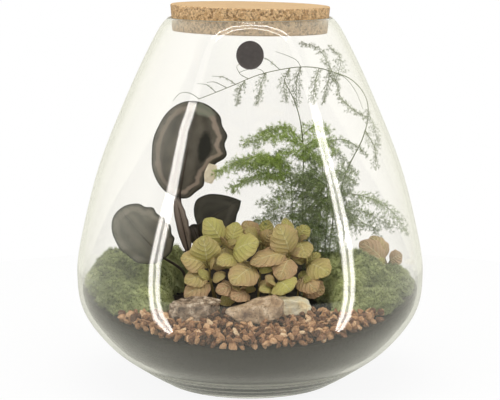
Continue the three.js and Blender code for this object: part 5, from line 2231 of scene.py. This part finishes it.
@dataclass(frozen=True)
class Studio:
    """Camera, floor and light.

    The lamp strip is placed so that its mirror image on the glass runs where the photo has it. Its table
    gives the image's middle as a column and a row of the photo, half its width there, how bright its
    middle is, and how wide the gap between its two tubes is.
    """

    vessel: Vessel
    camera_place: Place = (0.0, -1261.1, 351.3)
    pitch: float = 0.1652
    focal_px: float = 1637.6
    frame_px: tuple[int, int] = (500, 400)
    sensor: float = 36.0
    floor_radius: float = 520.0
    floor_sides: int = 96
    floor_drop: float = 0.2
    strip_px: tuple[tuple[float, float, float, float, float], ...] = (
        (171.5, 333, 2.6, 0.6, 0.05), (168, 329, 5.2, 0.6, 0.05), (158.5, 317, 7.0, 0.45, 0.05),
        (155.2, 305, 7.0, 0.32, 0.05), (154.0, 290, 7.0, 0.32, 0.05), (154.8, 265, 7.0, 0.32, 0.05),
        (161, 235, 6.8, 0.35, 0.05), (166.5, 212, 6.6, 0.45, 0.05), (171.5, 193, 6.4, 0.9, 0.05),
        (177, 165, 6.0, 0.9, 0.05), (184, 130, 5.6, 0.9, 0.05), (192.6, 104, 5.2, 0.85, 0.05),
        (193.6, 100.5, 5.2, 0.12, 1.3), (199, 82, 5.2, 0.08, 1.3), (205, 60, 4.6, 0.08, 1.3),
        (211, 44, 3.8, 0.08, 1.3), (215, 38, 3.4, 0.1, 0.35), (221, 33.5, 3.4, 0.1, 0.35),
        (233, 28.5, 2.9, 0.1, 0.35), (250, 26.6, 2.6, 0.1, 0.35), (266, 28, 2.9, 0.1, 0.35),
        (280, 32.5, 3.4, 0.1, 0.35), (287, 37, 3.4, 0.1, 0.35), (291, 43, 3.8, 0.08, 1.3),
        (298, 60, 4.6, 0.08, 1.3), (306, 82, 5.2, 0.08, 1.3), (311, 97, 5.2, 0.14, 1.3),
        (315, 110, 5.3, 0.3, 1.3), (318, 122, 5.3, 0.9, 0.05), (320, 132, 5.4, 0.9, 0.05),
        (327, 160, 5.7, 0.6, 0.05), (334, 185, 6.0, 0.35, 0.05), (342, 222, 7.0, 0.32, 0.05),
        (347, 252, 7.2, 0.3, 0.05), (349.5, 280, 7.2, 0.3, 0.05), (349, 300, 7.2, 0.3, 0.05),
        (345.5, 316, 6.8, 0.4, 0.05), (340, 327, 5.0, 0.5, 0.05), (337, 331, 2.6, 0.6, 0.05),
    )
    strip_columns: int = 13
    strip_steps: int = 4
    strip_distance: float = 1500.0
    strip_over_floor: float = 2.0
    glass_depths: tuple[float, float, int] = (1000, 1400, 4001)
    lamp_aim: Place = (0.0, 0.0, 120.0)
    opening_top: float = 0.8
    opening_side: float = 0.15
    opening_rise: Spot = (2.9, 5.0)
    opening_glow: float = 0.05
    sweep: WhiteSweep = WhiteSweep()

    def build(self) -> None:
        """Sets the camera, floor, lamps and surroundings up."""
        self.add_camera()
        self.add_floor()
        self.add_strip()
        self.add_lamps()
        self.add_surroundings()
        settings = bpy.context.scene.view_settings
        settings.view_transform = "Standard"
        settings.look = "None"

    def add_camera(self) -> None:
        """Places the camera where the photo was taken from."""
        lens = bpy.data.cameras.new("camera")
        lens.sensor_width = self.sensor
        lens.lens = self.sensor * self.focal_px / self.frame_px[0]
        camera = bpy.data.objects.new("camera", lens)
        camera.location = Vector(self.camera_place) * MM
        camera.rotation_euler = (math.pi / 2 - self.pitch, 0, 0)
        bpy.context.scene.collection.objects.link(camera)
        bpy.context.scene.camera = camera

    def add_floor(self) -> None:
        """Lays a round white floor."""
        ring = np.column_stack([circle(self.floor_sides), np.zeros(self.floor_sides)])
        draft = Draft()
        draft.add(ring * self.floor_radius - UP * self.floor_drop, np.arange(self.floor_sides)[None])
        draft.build("floor", [self.sweep], smooth=False)

    def mirrored(self, pixels: Array) -> Array:
        """Finds what the front of the glass mirrors to the camera at pixels of the photo.

        Args:
            pixels: columns and rows in the photo's frame.

        Returns:
            The places seen there, at the strip's distance or just over the floor.
        """
        eye = np.array(self.camera_place)
        columns, rows = (pixels - np.array(self.frame_px) / 2).T
        forward = np.array([0, math.cos(self.pitch), -math.sin(self.pitch)])
        upward = np.array([0, math.sin(self.pitch), math.cos(self.pitch)])
        rays = unit(forward * self.focal_px + np.outer(columns, [1, 0, 0]) - np.outer(rows, upward))
        reach = np.linspace(*self.glass_depths)
        places = []
        for ray in rays:
            line = eye + reach[:, None] * ray
            gap = np.hypot(line[:, 0], line[:, 1]) - self.vessel.outer_radius(line[:, 2])
            hit = line[int(np.argmax(gap < 0))]
            normal = self.vessel.outer_normal(hit)
            away = ray - 2 * normal * ray.dot(normal)
            distance = self.strip_distance
            if away[2] < 0:
                distance = min(distance, (hit[2] - self.strip_over_floor) / -away[2])
            places.append(hit + distance * away)
        return np.array(places)

    def add_strip(self) -> None:
        """Hangs the lamp strip, which only mirrors see."""
        table = np.array(self.strip_px, float)
        shares = np.linspace(0, len(table) - 1, (len(table) - 1) * self.strip_steps + 1)
        x, y, half, fill, gap = (np.interp(shares, np.arange(len(table)), column) for column in table.T)
        path = np.stack([x, y], axis=1)
        along = unit(np.gradient(path, axis=0))
        outward = np.stack([along[:, 1], -along[:, 0]], axis=1)
        across = np.linspace(-1, 1, self.strip_columns)
        rows = [self.mirrored(path + outward * (half * share)[:, None]) for share in across]
        draft = Draft("across", "fill", "gap")
        draft.add(
            np.stack(rows, axis=1).reshape(-1, 3),
            grid_faces(len(path), self.strip_columns),
            across=np.tile(across, len(path)),
            fill=np.repeat(fill, self.strip_columns),
            gap=np.repeat(gap, self.strip_columns),
        )
        strip = draft.build("lamp_strip", [LampStrip()], smooth=False)
        for kind in ("camera", "diffuse", "transmission", "shadow"):
            setattr(strip, "visible_" + kind, False)

    def add_lamps(self) -> None:
        """Adds soft lamps over the terrarium and beside it."""
        # Each has its name, place, width and power.
        lamps = (
            ("lamp_top", (0, -250, 1300), 1200, 8.0),
            ("lamp_left", (-1100, -700, 700), 900, 5.0),
            ("lamp_right", (1100, -500, 650), 900, 4.0),
        )
        for name, place, size, power in lamps:
            light = bpy.data.lights.new(name, "AREA")
            light.size, light.energy = size * MM, power
            lamp = bpy.data.objects.new(name, light)
            lamp.location = Vector(place) * MM
            aim = Vector(self.lamp_aim) * MM - lamp.location
            lamp.rotation_euler = aim.to_track_quat("-Z", "Y").to_euler()
            lamp.visible_glossy = lamp.visible_transmission = lamp.visible_camera = False
            bpy.context.scene.collection.objects.link(lamp)

    def add_surroundings(self) -> None:
        """Surrounds the object with white, which mirrors see as a white tent with a dark opening in front."""
        world = bpy.data.worlds.new("white_tent")
        bpy.context.scene.world = world
        world.use_nodes = True
        on = Palette(world.node_tree)
        direction = on.add("SeparateXYZ", None, {0: on.add("TexCoord", output="Generated")})
        front = (direction["Y"] * -1.0).rise(self.opening_side, self.opening_rise[0])
        low = ((self.opening_top - direction["Z"]) * self.opening_rise[1]).clamped()
        brightest = 1 / self.sweep.mirrored
        tent = (front * low).blend(brightest, self.opening_glow * brightest)
        on.add("OutputWorld", None, {"Surface": on.add("Background", None, self.sweep.light(on, tent))})


@dataclass(frozen=True)
class Terrarium:
    """The whole terrarium, built piece by piece round the frame."""

    vessel: Vessel

    def build(self, nodes: dict[str, Piece]) -> None:
        """Builds the vessel, the filling and the plants.

        Args:
            nodes: the CAD nodes by name.
        """
        ground = Ground(self.vessel)
        self.vessel.build()
        CorkStopper().build()
        RoundSticker(self.vessel).build()
        ground.build()
        GravelBed(self.vessel, ground).build()
        for stone in STONES:
            stone.build(nodes)
        for mound in Mound:
            MossMound(self.vessel, ground, mound).build(nodes)
        PrayerPlant(ground).build()
        NervePlant(ground).build()
        AsparagusFern(self.vessel, ground).build()


def main() -> None:
    logging.basicConfig(level=logging.INFO, format="%(message)s")
    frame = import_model()
    vessel = Vessel()
    Terrarium(vessel).build(frame["nodes"])
    Studio(vessel).build()


if __name__ == "__main__":
    main()
